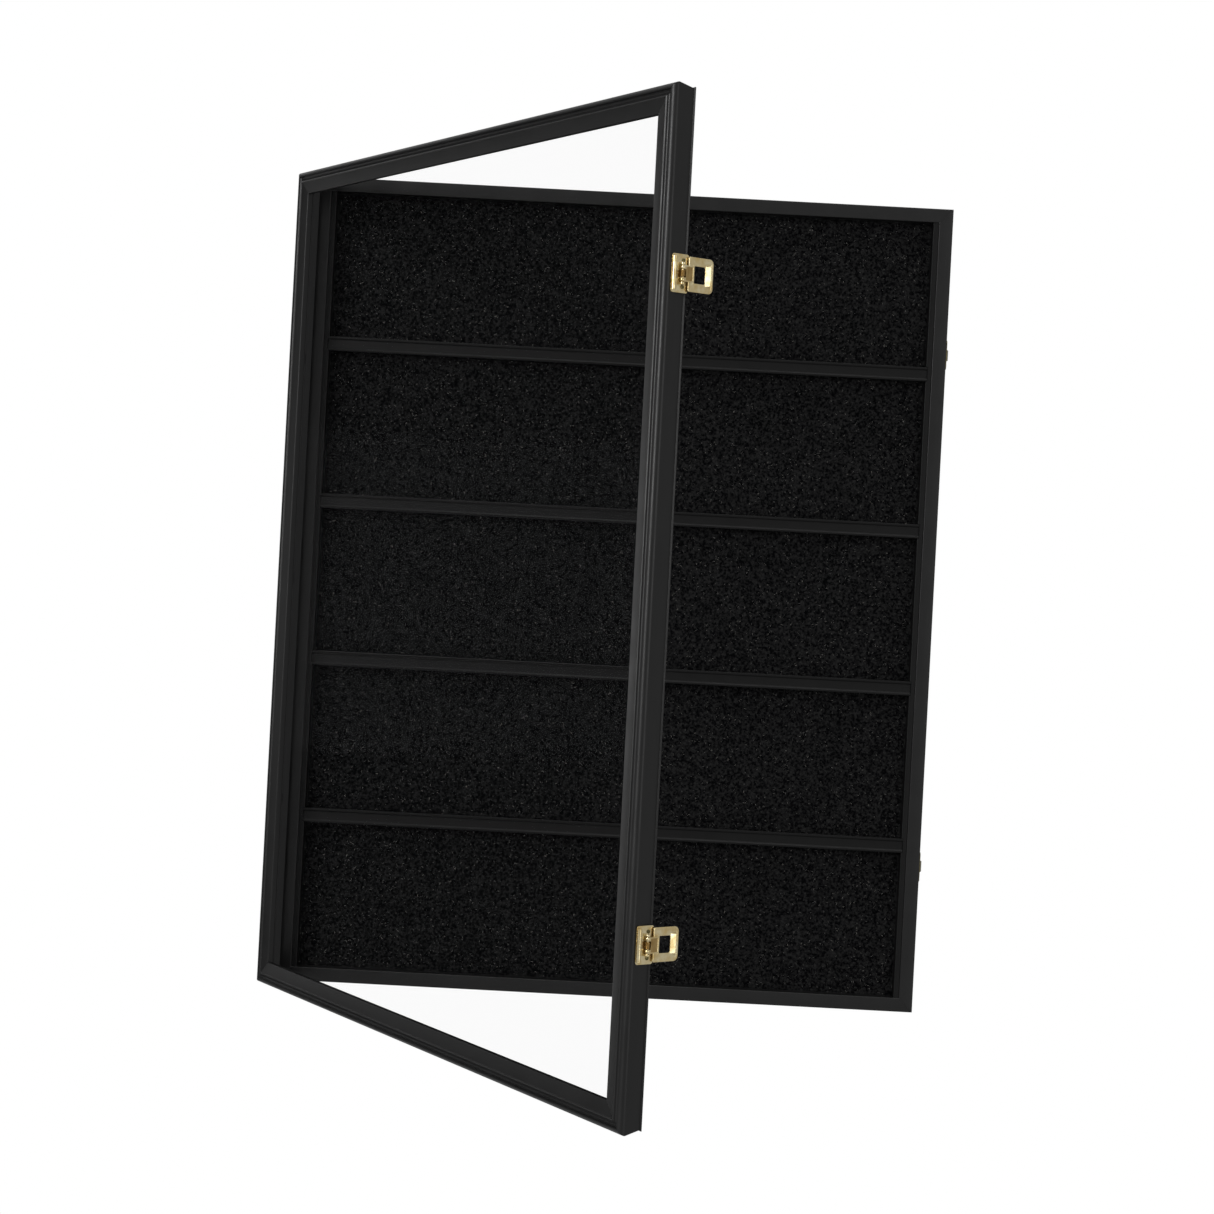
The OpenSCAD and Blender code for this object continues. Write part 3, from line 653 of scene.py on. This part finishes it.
UPRIGHT_FRONT = SHELF_SETBACK - 0.2
upright_section = eased(
    [(UPRIGHT_FRONT, 0, 0.15), (UPRIGHT_FRONT, UPRIGHT_W, 0.45), (FELT_SETBACK, UPRIGHT_W, 0.15),
     (FELT_SETBACK, 0, 0.15)], 0.2, 5)
INNER_X = INNER_W / 2 - UPRIGHT_W
HOUSING_SLACK = 0.1
for side_name, turn, sign in (("left", 90, -1), ("right", -90, 1)):
    upright = strip("lining_upright_" + side_name, upright_section, INNER_H, 0.0, strip_plastic)
    placed(upright, side_of_frame(turn, INNER_W / 2))
    low_x, high_x = sorted((sign * (INNER_X - 1), sign * (INNER_X + HOUSING_D)))
    housing_half = SHELF_H / 2 + HOUSING_SLACK
    housings = boxes("housings", [
        ((low_x, -2, shelf_z(i) - housing_half), (high_x, 20, shelf_z(i) + housing_half))
        for i in range(1, SHELVES + 1)])
    cutter = upright.modifiers.new("housings", "BOOLEAN")
    cutter.operation, cutter.object, cutter.solver = "DIFFERENCE", housings, "EXACT"
    cut_mesh = applied(upright)
    upright.modifiers.clear()
    upright.data = cut_mesh
    bpy.data.objects.remove(housings)
    placed(upright, AT_CASE)
    stands_for(shaped(upright), "case", "black_moulding", side_name + "_upright")

LIP, SEAT_SINK, EDGE = 1.1, 0.8, SHELF_H / 2
half_ledge = [
    (0.9, EDGE - LIP - 0.85, 0.3), (0.25, EDGE - LIP - 0.3, 0.15), (0.0, EDGE - LIP, 0.15), (0.0, EDGE, 0.35),
    (1.6, EDGE, 0.2), (2.0, EDGE - SEAT_SINK, 0.2), (FELT_SETBACK - SHELF_SETBACK, EDGE - SEAT_SINK, 0.1)]
ledge_section = eased(half_ledge + [(p[0], -p[1], p[2]) for p in reversed(half_ledge)], 0.2, 4)
SHELF_LEN = INNER_W - 2 * (UPRIGHT_W - HOUSING_D) - 0.2
for i in range(1, SHELVES + 1):
    ledge = strip(f"ledge_{i}", ledge_section, SHELF_LEN, 0.0, strip_plastic)
    placed(ledge, AT_CASE @ moved(0, SHELF_SETBACK, shelf_z(i)) @ LIE_ALONG)
    stands_for(shaped(ledge), "case", "black_moulding", f"shelf_{i}")
print("ledge length, mm:", SHELF_LEN)

# %% [markdown]
# ## The felt
# Felt is glued flat to its board, so it is a stretched sheet. It is drawn as a fine grid with the
# slightest waviness, closed behind, and a second tree then strews short bent fibre ends over it. The
# scatter has a fixed seed, so it is the same at every run.

# %% Felt panel
COLS, ROWS = 96, 122
WAVE = 0.04


def felt_depth(c, r):
    """Depth of the felt's face at a column and row of its grid, with its slight waviness."""
    return FELT_SETBACK + 0.05 + WAVE * math.sin(c * 0.9 + math.sin(r * 0.31)) * math.cos(r * 0.7)


felt_shape = bmesh.new()
front_grid = [[felt_shape.verts.new(Vector((
    (c / COLS - 0.5) * FELT_W, felt_depth(c, r), (r / ROWS - 0.5) * FELT_H)) * MM)
    for c in range(COLS + 1)] for r in range(ROWS + 1)]
for r in range(ROWS):
    for c in range(COLS):
        felt_shape.faces.new((front_grid[r][c], front_grid[r][c + 1],
                              front_grid[r + 1][c + 1], front_grid[r + 1][c]))
rim_edges = [e for e in felt_shape.edges if e.is_boundary]
walls = bmesh.ops.extrude_edge_only(felt_shape, edges=rim_edges)
for part in walls["geom"]:
    if isinstance(part, bmesh.types.BMVert):
        part.co.y = (FELT_SETBACK + FELT_T) * MM
bmesh.ops.contextual_create(felt_shape, geom=[e for e in felt_shape.edges if e.is_boundary])
felt_mesh = bpy.data.meshes.new("felt_lining")
felt_shape.to_mesh(felt_mesh)
felt_shape.free()
felt = linked("felt_lining", felt_mesh)
felt.data.materials.append(felt_cloth)
placed(felt, AT_CASE)
stands_for(shaped(felt, 40), "case", "black_felt", "felt_panel")
print("felt faces:", len(felt.data.polygons))

# %% [markdown]
# Copies that all lie one way look printed, so each one is turned about its own axis by a random angle.

# %% Turning copies at random
FULL_TURN = 6.283


def spun(tree, rotation, seed):
    """Turns every copy's rotation about its own Z by a random angle."""
    angle = add(tree, "FunctionNodeRandomValue", {"Max": FULL_TURN, "Seed": seed}, data_type="FLOAT")
    about = add(tree, "ShaderNodeCombineXYZ", {"Z": angle.outputs["Value"]})
    twist = add(tree, "FunctionNodeEulerToRotation", {"Euler": about})
    return add(tree, "FunctionNodeRotateRotation", {"Rotation": rotation, "Rotate By": twist},
               rotation_space="LOCAL")


# %% [markdown]
# Each fibre end is a bent sliver under a millimetre long. Points are strewn over the felt, a sliver is
# put on each and turned at random about the felt's normal, and its size varies a little.

# %% Fibre ends strewn over the felt
tree, given = new_tree("fibre ends strewn on felt", {
    "Per square metre": "Float", "Length": "Float", "Thickness": "Float", "Seed": "Int"})
strewn = add(tree, "GeometryNodeDistributePointsOnFaces", {
    "Mesh": given["Geometry"], "Density": given["Per square metre"], "Seed": given["Seed"]},
    distribute_method="RANDOM")
half = add(tree, "ShaderNodeMath", {0: given["Length"], 1: 0.5}, operation="MULTIPLY")
less = add(tree, "ShaderNodeMath", {0: half, 1: -1.0}, operation="MULTIPLY")
bend = add(tree, "GeometryNodeCurveQuadraticBezier", {
    "Resolution": 3,
    "Start": add(tree, "ShaderNodeCombineXYZ", {"X": less}),
    "Middle": add(tree, "ShaderNodeCombineXYZ", {"Y": half, "Z": half}),
    "End": add(tree, "ShaderNodeCombineXYZ", {"X": half})})
fine_wire = add(tree, "GeometryNodeCurvePrimitiveCircle", {"Resolution": 3, "Radius": given["Thickness"]})
sliver = add(tree, "GeometryNodeCurveToMesh", {"Curve": bend, "Profile Curve": fine_wire, "Fill Caps": True})
size = add(tree, "FunctionNodeRandomValue", {"Min": 0.5, "Max": 1.3, "Seed": 7}, data_type="FLOAT")
each = add(tree, "GeometryNodeInstanceOnPoints", {
    "Points": strewn, "Instance": sliver,
    "Rotation": spun(tree, strewn.outputs["Rotation"], given["Seed"]), "Scale": size.outputs["Value"]})
end_tree(tree, given, each)
fibre_tree = tree

visible_felt = bpy.data.meshes.new("visible felt")
bare_x, bare_y, bare_z = INNER_X * MM, (FELT_SETBACK + 0.02) * MM, INNER_H / 2 * MM
visible_felt.from_pydata([(-bare_x, bare_y, -bare_z), (bare_x, bare_y, -bare_z), (bare_x, bare_y, bare_z),
                          (-bare_x, bare_y, bare_z)], [], [(0, 1, 2, 3)])
fibres = grown("felt_fibre_ends", visible_felt, fibre_tree, {
    "Per square metre": 52000.0, "Length": 0.9 * MM, "Thickness": 0.07 * MM, "Seed": 11, "Finish": fibre})
fibres.data.transform(AT_CASE)
stands_for(fibres, "case", "black_felt")
print("fibre faces:", len(fibres.data.polygons))


# %% [markdown]
# ## Metal fittings
# Stamped and turned parts have small soft edges, which catch the light. Where the CAD shape is already
# right, a copy is merged, its flat faces are rejoined, and a fine bevel is cut along its sharp edges.
# Faces larger than 2 square millimetres are shaded flat, so that only the bevels look rounded.

# %% Eased copies of CAD parts
LARGE_FLAT = 2 * MM * MM
STAMPED_EDGE = 0.12


def eased_copy(node_name, width_mm, material, body, slot, segments=2):
    """A copy of a CAD part with its sharp edges bevelled, standing for that part."""
    shape = bmesh.new()
    shape.from_mesh(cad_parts[node_name].data)
    bmesh.ops.remove_doubles(shape, verts=shape.verts, dist=2e-6)
    bmesh.ops.dissolve_limit(shape, angle_limit=math.radians(1.0), verts=shape.verts, edges=shape.edges)
    mesh = bpy.data.meshes.new("eased_" + node_name)
    shape.to_mesh(mesh)
    shape.free()
    made = linked("eased_" + node_name, mesh)
    bevel = made.modifiers.new("ease", "BEVEL")
    bevel.width, bevel.segments, bevel.limit_method = width_mm * MM, segments, "ANGLE"
    bevel.angle_limit = math.radians(40)
    bevel.use_clamp_overlap = True
    plain = applied(made)
    made.modifiers.clear()
    made.data = plain
    plain.name = made.name
    made.data.materials.clear()
    made.data.materials.append(material)
    shaped(made, 40)
    for face in plain.polygons:
        face.use_smooth = face.area < LARGE_FLAT
    print(made.name, len(plain.polygons), "faces")
    return stands_for(made, body, slot, node_name)


for level in ("upper", "lower"):
    for part, material, body in (("hinge_case_leaf", brass, "case"), ("hinge_door_leaf", brass, "door"),
                                 ("catch", darker_duller_brass, "case"), ("latch_base", brass, "door")):
        eased_copy(f"{level}_{part}", STAMPED_EDGE, material, body, "brass_plate")
for side_name in ("left", "right"):
    eased_copy(f"hanger_{side_name}", 0.25, zinc, "case", "zinc_steel")
eased_copy("wall_bumpers", 0.4, rubber, "case", "rubber", 3)
eased_copy("back_board", 0.3, back_paint, "case", "hardboard")

# %% [markdown]
# ## The hasps
# Each hasp is pressed from one sheet. A narrow tongue is rolled round the pin, the frame behind it has a
# window that drops over the catch, and the end is pushed up into a smooth bar for the thumb. Three
# helpers make it: one raises a height map on a grid, one turns a profile on a lathe, and the frame is
# a set of loops that run from its outline in to its window.

# %% Pressed and turned shapes
def pressed(shape, u0, u1, z0, z1, counts, top, bottom):
    """A closed plate: a grid whose height over (u, z) is top(u, z), with walls down to bottom."""
    nu, nz = counts
    rows = []
    for i in range(nu + 1):
        u = u0 + (u1 - u0) * i / nu
        line = [z0 + (z1 - z0) * k / nz for k in range(nz + 1)]
        rows.append([(shape.verts.new((top(u, z) * MM, u * MM, z * MM)),
                      shape.verts.new((bottom * MM, u * MM, z * MM))) for z in line])
    for i in range(nu):
        for k in range(nz):
            for side in (0, 1):
                shape.faces.new((rows[i][k][side], rows[i + 1][k][side],
                                 rows[i + 1][k + 1][side], rows[i][k + 1][side]))
    edge = ([(i, 0) for i in range(nu)] + [(nu, k) for k in range(nz)]
            + [(i, nz) for i in range(nu, 0, -1)] + [(0, k) for k in range(nz, 0, -1)])
    for (i, k), (m, n) in zip(edge, edge[1:] + edge[:1]):
        shape.faces.new((rows[i][k][0], rows[m][n][0], rows[m][n][1], rows[i][k][1]))


def turned(shape, profile, sides=32, centre=(0, 0, 0)):
    """A closed lathe shape about Z from (radius, height) points in millimetres, 0 at both ends."""
    cx, cy, cz = centre
    rings = []
    for radius, height in profile:
        around = range(sides) if radius else [0]
        rings.append([shape.verts.new(Vector((
            cx + radius * math.cos(2 * math.pi * k / sides),
            cy + radius * math.sin(2 * math.pi * k / sides), cz + height)) * MM) for k in around])
    for low, high in zip(rings, rings[1:]):
        for k in range(sides):
            n = (k + 1) % sides
            corners = [low[k % len(low)], low[n % len(low)], high[n % len(high)], high[k % len(high)]]
            shape.faces.new(list(dict.fromkeys(corners)))


def rounded_loop(u0, u1, z0, z1, r, near_r, steps=6, along=8):
    """Points round a rectangle with round corners, near_r at its u0 end. Every loop has as many."""
    points = []
    corners = ((u1 - r, z1 - r, r, 0), (u0 + near_r, z1 - near_r, near_r, 90),
               (u0 + near_r, z0 + near_r, near_r, 180), (u1 - r, z0 + r, r, 270))
    for i, (cu, cz, radius, start) in enumerate(corners):
        bend = arc(cu, cz, radius, start, start + 90, steps)
        next_cu, next_cz, next_r, next_start = corners[(i + 1) % 4]
        ahead = arc(next_cu, next_cz, next_r, next_start, next_start + 90, steps)[0]
        points += bend + [(bend[-1][0] + (ahead[0] - bend[-1][0]) * k / along,
                           bend[-1][1] + (ahead[1] - bend[-1][1]) * k / along) for k in range(1, along)]
    return points


# %% [markdown]
# The frame's section from its outline (0) to its window (1) is a list of rises: soft outer edge, raised
# rim, sunk flat, and a second rim round the window. Each rise is one loop of the frame.

# %% The windowed frame of a hasp
HASP_LOW, HASP_T, HASP_H, HASP_REACH, FRAME_START = -0.65, 0.6, 16.6, 18.1, 3.4
WINDOW_START, WINDOW_LEN, WINDOW_H, TONGUE_H, ROLL_Z = 6.9, 6.4, 8.2, 7.8, 2.0
HASP_TOP = HASP_LOW + HASP_T
RIM = ((0.0, -0.24), (0.02, -0.08), (0.06, 0.0), (0.12, 0.06), (0.18, 0.05), (0.26, -0.06), (0.36, -0.1),
       (0.5, -0.1), (0.64, -0.1), (0.76, -0.04), (0.86, 0.02), (0.93, 0.0), (0.98, -0.08), (1.0, -0.22))
UNDERSIDE = ((0.99, 0.1), (0.95, 0.0), (0.05, 0.0), (0.01, 0.1))
OUTER_R, START_R, WINDOW_R = 2.4, 0.8, 0.6


def hasp_frame(shape):
    """The windowed frame: loops from the outline to the window, above and below."""
    outer = rounded_loop(FRAME_START, HASP_REACH, -HASP_H / 2, HASP_H / 2, OUTER_R, START_R)
    inner = rounded_loop(WINDOW_START, WINDOW_START + WINDOW_LEN, -WINDOW_H / 2, WINDOW_H / 2,
                         WINDOW_R, WINDOW_R)

    def loop(height, f):
        return [shape.verts.new(Vector((height, a[0] + (b[0] - a[0]) * f, a[1] + (b[1] - a[1]) * f)) * MM)
                for a, b in zip(outer, inner)]

    loops = [loop(HASP_TOP + rise, f) for f, rise in RIM]
    loops += [loop(HASP_LOW + rise, f) for f, rise in UNDERSIDE]
    count = len(outer)
    for low, high in zip(loops, loops[1:] + loops[:1]):
        for k in range(count):
            n = (k + 1) % count
            shape.faces.new((low[k], low[n], high[n], high[k]))


# %% [markdown]
# The thumb bar's top is a facet that rises towards the end and drops at its far edge. The tongue falls
# from the roll to the frame and has a sunk panel. Both are height maps: height over (u, z), in
# millimetres, with u along the hasp from its pin.

# %% The bar, the tongue and the rolled ends
BAR_U, BAR_HALF, BAR_LONG, BAR_END_R = 15.05, 1.68, 5.35, 0.9
BAR_RISE, BAR_SLOPE, BAR_DROP, DROP_FROM = 0.12, 0.44, 0.85, 0.62
TONGUE_START, TONGUE_END, TONGUE_FALL = 1.45, 6.85, 0.95
PANEL_START, PANEL_END, PANEL_SINK = 1.5, 6.05, 0.2
ROLL_START, ROLL_END, ROLL_R, ROLL_EDGE = 0.3, 1.5, 1.1, 0.15


def bar_top(u, z):
    """Height of the thumb bar."""
    across = (u - BAR_U) / BAR_HALF
    drop = BAR_DROP * max(0.0, (across - DROP_FROM) / (1 - DROP_FROM)) ** 2
    ends = 1 - max(0.0, (abs(z) - BAR_LONG + BAR_END_R) / BAR_END_R) ** 2
    return HASP_TOP - 0.1 + (BAR_RISE + BAR_SLOPE * (across + 1) - drop) * ends


def tongue_top(u, z):
    """Height of the tongue, with its sunk panel and eased edges."""
    slope = 1.0 - TONGUE_FALL * (u - 0.4) / 6.4
    inside = min(1.0, max(0.0, min((PANEL_END - u) / 0.3, (TONGUE_H / 2 - 0.45 - abs(z)) / 0.3)))
    ease = 0.12 * max(0.0, 1 - (TONGUE_H / 2 - abs(z)) / 0.2) + 0.14 * max(0.0, (u - 6.6) / 0.25)
    return slope - PANEL_SINK * inside - ease


hasp_shape = bmesh.new()
hasp_frame(hasp_shape)
pressed(hasp_shape, BAR_U - BAR_HALF, BAR_U + BAR_HALF, -BAR_LONG, BAR_LONG, (20, 44),
        bar_top, HASP_LOW + 0.2)
pressed(hasp_shape, TONGUE_START, TONGUE_END, -TONGUE_H / 2, TONGUE_H / 2, (34, 40),
        tongue_top, HASP_LOW + 0.03)
for low_z, high_z in ((ROLL_Z, TONGUE_H / 2), (-TONGUE_H / 2, -ROLL_Z)):
    pressed(hasp_shape, ROLL_START, ROLL_END, low_z, high_z, (8, 8), tongue_top, HASP_LOW + 0.03)
    long = high_z - low_z
    turned(hasp_shape, ((0, 0), (ROLL_R - ROLL_EDGE, 0), (ROLL_R, ROLL_EDGE), (ROLL_R, long - ROLL_EDGE),
                        (ROLL_R - ROLL_EDGE, long), (0, long)), centre=(0, 0, low_z))
hasp_mesh = bpy.data.meshes.new("hasp")
hasp_shape.to_mesh(hasp_mesh)
hasp_shape.free()
hasp_mesh.materials.append(brass)
hasp_mesh.materials.append(brass_painted_dark_reflection)
# The sunk panel's faces take the darker copy of the brass: painted dark reflection and shade.
for face in hasp_mesh.polygons:
    height, along_hasp, off_middle = face.center / MM
    on_panel = PANEL_START < along_hasp < PANEL_END - 0.1 and abs(off_middle) < TONGUE_H / 2 - 0.5
    if on_panel and height > HASP_TOP - 0.2:
        face.material_index = 1
for level, sign in (("upper", 1), ("lower", -1)):
    hasp = linked(f"pressed_hasp_{level}", hasp_mesh.copy())
    placed(hasp, AT_DOOR @ moved(CASE_W / 2 + PIVOT_H, PIVOT_E, sign * LATCH_Z))
    stands_for(shaped(hasp, 50), "hasp_" + level, "brass_plate", level + "_hasp")
print("hasp faces:", len(hasp.data.polygons))

# %% [markdown]
# The spring that holds a hasp shut is wire wound round the pin. A spiral with equal start and end radius
# is a coil, so its tree needs only the number of turns, the length, the radius and the wire.

# %% Coil springs
tree, given = new_tree("wire wound to a coil", {
    "Turns": "Float", "Length": "Float", "Radius": "Float", "Wire": "Float"})
coil = add(tree, "GeometryNodeCurveSpiral", {
    "Resolution": 24, "Rotations": given["Turns"], "Start Radius": given["Radius"],
    "End Radius": given["Radius"], "Height": given["Length"]})
wire_round = add(tree, "GeometryNodeCurvePrimitiveCircle", {"Resolution": 10, "Radius": given["Wire"]})
wound = add(tree, "GeometryNodeCurveToMesh", {"Curve": coil, "Profile Curve": wire_round, "Fill Caps": True})
end_tree(tree, given, wound)
coil_tree = tree
SPRING_LONG, SPRING_TURNS, SPRING_WIRE, SPRING_R = 2 * (ROLL_Z - 0.25), 6.5, 0.25, 1.15
for level, sign in (("upper", 1), ("lower", -1)):
    spring = grown(f"latch_coil_{level}", bpy.data.meshes.new("nothing"), coil_tree, {
        "Turns": SPRING_TURNS, "Length": (SPRING_LONG - 2 * SPRING_WIRE) * MM,
        "Radius": (SPRING_R - SPRING_WIRE) * MM, "Wire": SPRING_WIRE * MM, "Finish": spring_wire})
    spring.data.transform(AT_DOOR @ moved(
        CASE_W / 2 + PIVOT_H, PIVOT_E, sign * LATCH_Z - SPRING_LONG / 2 + SPRING_WIRE))
    stands_for(shaped(spring, 60), "door", "spring_steel", level + "_latch_spring")
print("coil faces:", len(spring.data.polygons))

# %% [markdown]
# ## Nails and screws
# Every fastener of a kind is the same, so it is turned once, and a tree sets a copy on each point, facing
# the way that the point's own attribute says, and turned by a random angle, as hand-driven ones are.

# %% A tree that sets fasteners on points
tree, given = new_tree("fasteners set on points", {"Fastener": "Object", "Seed": "Int"})
facing = add(tree, "GeometryNodeInputNamedAttribute", {"Name": "facing"}, data_type="FLOAT_VECTOR")
faced = add(tree, "FunctionNodeAlignRotationToVector", {"Vector": facing.outputs["Attribute"]}, axis="Z")
pattern = add(tree, "GeometryNodeObjectInfo", {"Object": given["Fastener"]})
each = add(tree, "GeometryNodeInstanceOnPoints", {
    "Points": given["Geometry"], "Instance": pattern.outputs["Geometry"],
    "Rotation": spun(tree, faced, given["Seed"])})
end_tree(tree, given, each)
fastener_tree = tree

# %% [markdown]
# Three fasteners are needed: a round-headed nail for the latches, a countersunk one for the hinges, and a
# pan-headed screw with a cross recess for the hangers. The recess is cut with two crossed bars.

# %% Turn the fasteners
RECESS_HALF, RECESS_DEEP = 0.22, 0.75


def fastener(name, profile, recess=0.0):
    """A turned fastener, its head's seat at z = 0; recess is the half length of a cross cut in its top."""
    shape = bmesh.new()
    turned(shape, profile, 28)
    mesh = bpy.data.meshes.new(name)
    bmesh.ops.recalc_face_normals(shape, faces=shape.faces)
    shape.to_mesh(mesh)
    shape.free()
    made = linked(name, mesh)
    if recess:
        top = max(height for _, height in profile)
        cross = boxes("cross", [((-x, -y, top - RECESS_DEEP), (x, y, top + 1))
                                for x, y in ((recess, RECESS_HALF), (RECESS_HALF, recess))])
        cut = made.modifiers.new("recess", "BOOLEAN")
        cut.operation, cut.object, cut.solver, cut.use_self = "DIFFERENCE", cross, "EXACT", True
        made.data = applied(made)
        made.modifiers.clear()
        bpy.data.objects.remove(cross)
    return made


latch_nail = fastener("round nail", (
    (0, -5.5), (0.45, -5.1), (0.6, -4.4), (0.6, 0.0), (0.92, 0.0), (1.0, 0.06), (0.97, 0.16), (0.82, 0.27),
    (0.55, 0.36), (0.28, 0.395), (0, 0.4)))
hinge_nail = fastener("countersunk nail", (
    (0, -5.7), (0.45, -5.3), (0.6, -4.8), (0.6, -0.7), (1.3, -0.05), (1.36, 0.0), (1.1, 0.02), (0.5, 0.04),
    (0, 0.045)))
pan_screw = fastener("pan head screw", (
    (0, -9.0), (0.5, -8.2), (1.0, -7.0), (1.0, 0.0), (2.0, 0.0), (2.1, 0.12), (2.08, 0.45), (1.85, 0.8),
    (1.3, 1.03), (0.6, 1.1), (0, 1.1)), recess=1.15)


def set_fasteners(name, kind, at_place, spots, facing_way, body, slot, material, *nodes):
    """Copies of one fastener on spots in millimetres, heads outwards along facing_way."""
    points = bpy.data.meshes.new(name + "_points")
    points.from_pydata([Vector(spot) * MM for spot in spots], [], [])
    outward = points.attributes.new("facing", "FLOAT_VECTOR", "POINT")
    for i in range(len(spots)):
        outward.data[i].vector = facing_way
    made = grown(name, points, fastener_tree, {"Fastener": kind, "Seed": 5, "Finish": material})
    placed(made, at_place)
    print(name + ":", len(spots))
    return stands_for(shaped(made, 40), body, slot, *nodes)


# %% [markdown]
# Each set has two fasteners at both of its fittings, above and below their middles. The nails of a hinge
# lean on its leaves, those of a latch on its base plate, and the screws on the hangers.

# %% Set the fasteners
def four_spots(x, y, z, off):
    """Spots off above and below the two middles that lie z above and below the case's own."""
    return [(x, y, s * z + t * off) for s in (1, -1) for t in (1, -1)]


HINGE_Z = CASE_H / 2 - 78.0
BRASS_T, LEAF_T, LEAF_NAIL, LEAF_NAIL_Z = 0.5, 0.7, 0.62 * 8.5, 9
SIDE_X, BASE_E, LATCH_NAIL_E, LATCH_NAIL_Z = CASE_W / 2, DOOR_T - 10.0, 6.65, 6.3
CATCH_E, CATCH_NAIL_E, CATCH_NAIL_Z = 1.2, 5.5, 6.6
HANGER_T, HANGER_SCREW_Z = 1.2, 17
SETS = (
    ("latch_round_nails", latch_nail, AT_DOOR,
     four_spots(SIDE_X + BRASS_T, BASE_E + LATCH_NAIL_E, LATCH_Z, LATCH_NAIL_Z),
     (1, 0, 0), "door", "brass_plate", darker_duller_brass, "latch_nails"),
    ("catch_round_nails", latch_nail, AT_CASE,
     four_spots(SIDE_X + BRASS_T, CATCH_E + CATCH_NAIL_E, LATCH_Z, CATCH_NAIL_Z),
     (1, 0, 0), "case", "brass_plate", darker_duller_brass, "catch_nails"),
    ("hinge_nails_in_case", hinge_nail, AT_CASE,
     four_spots(-SIDE_X - LEAF_T, LEAF_NAIL - DOOR_GAP / 2, HINGE_Z, LEAF_NAIL_Z),
     (-1, 0, 0), "case", "brass_plate", brass, "hinge_case_nails"),
    ("hinge_nails_in_door", hinge_nail, AT_DOOR,
     four_spots(-SIDE_X - LEAF_T, DOOR_T + DOOR_GAP / 2 - LEAF_NAIL, HINGE_Z, LEAF_NAIL_Z),
     (-1, 0, 0), "door", "brass_plate", brass, "hinge_door_nails"),
    ("hanger_pan_screws", pan_screw, AT_CASE,
     [(s * (SIDE_X - WALL_W / 2), CASE_D + HANGER_T, -MID_Z + t * HANGER_SCREW_Z)
      for s in (1, -1) for t in (1, -1)],
     (0, 1, 0), "case", "zinc_steel", zinc, "hanger_screws"),
)
for one_set in SETS:
    set_fasteners(*one_set)
for pattern_object in (latch_nail, hinge_nail, pan_screw):
    bpy.data.objects.remove(pattern_object)

# %% [markdown]
# The remaining CAD parts keep their meshes and only take their finish.

# %% Finishes for the parts that stay as they are
PLAIN = (
    (fibreboard, "mounting_board", ("mounting_board",)),
    (acrylic, "clear_acrylic", ("pane",)),
    (blackened, "blackened_steel", ("pane_points",)),
    (zinc, "zinc_steel", ("back_points", "shelf_screws", "case_corner_nails", "door_corner_nails")),
    (brass, "brass_plate", ("upper_hinge_pin", "lower_hinge_pin", "upper_latch_pin", "lower_latch_pin")),
)
for material, slot, node_names in PLAIN:
    for node_name in node_names:
        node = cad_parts[node_name]
        node.data.materials.clear()
        node.data.materials.append(material)
    print(slot + ":", ", ".join(node_names))
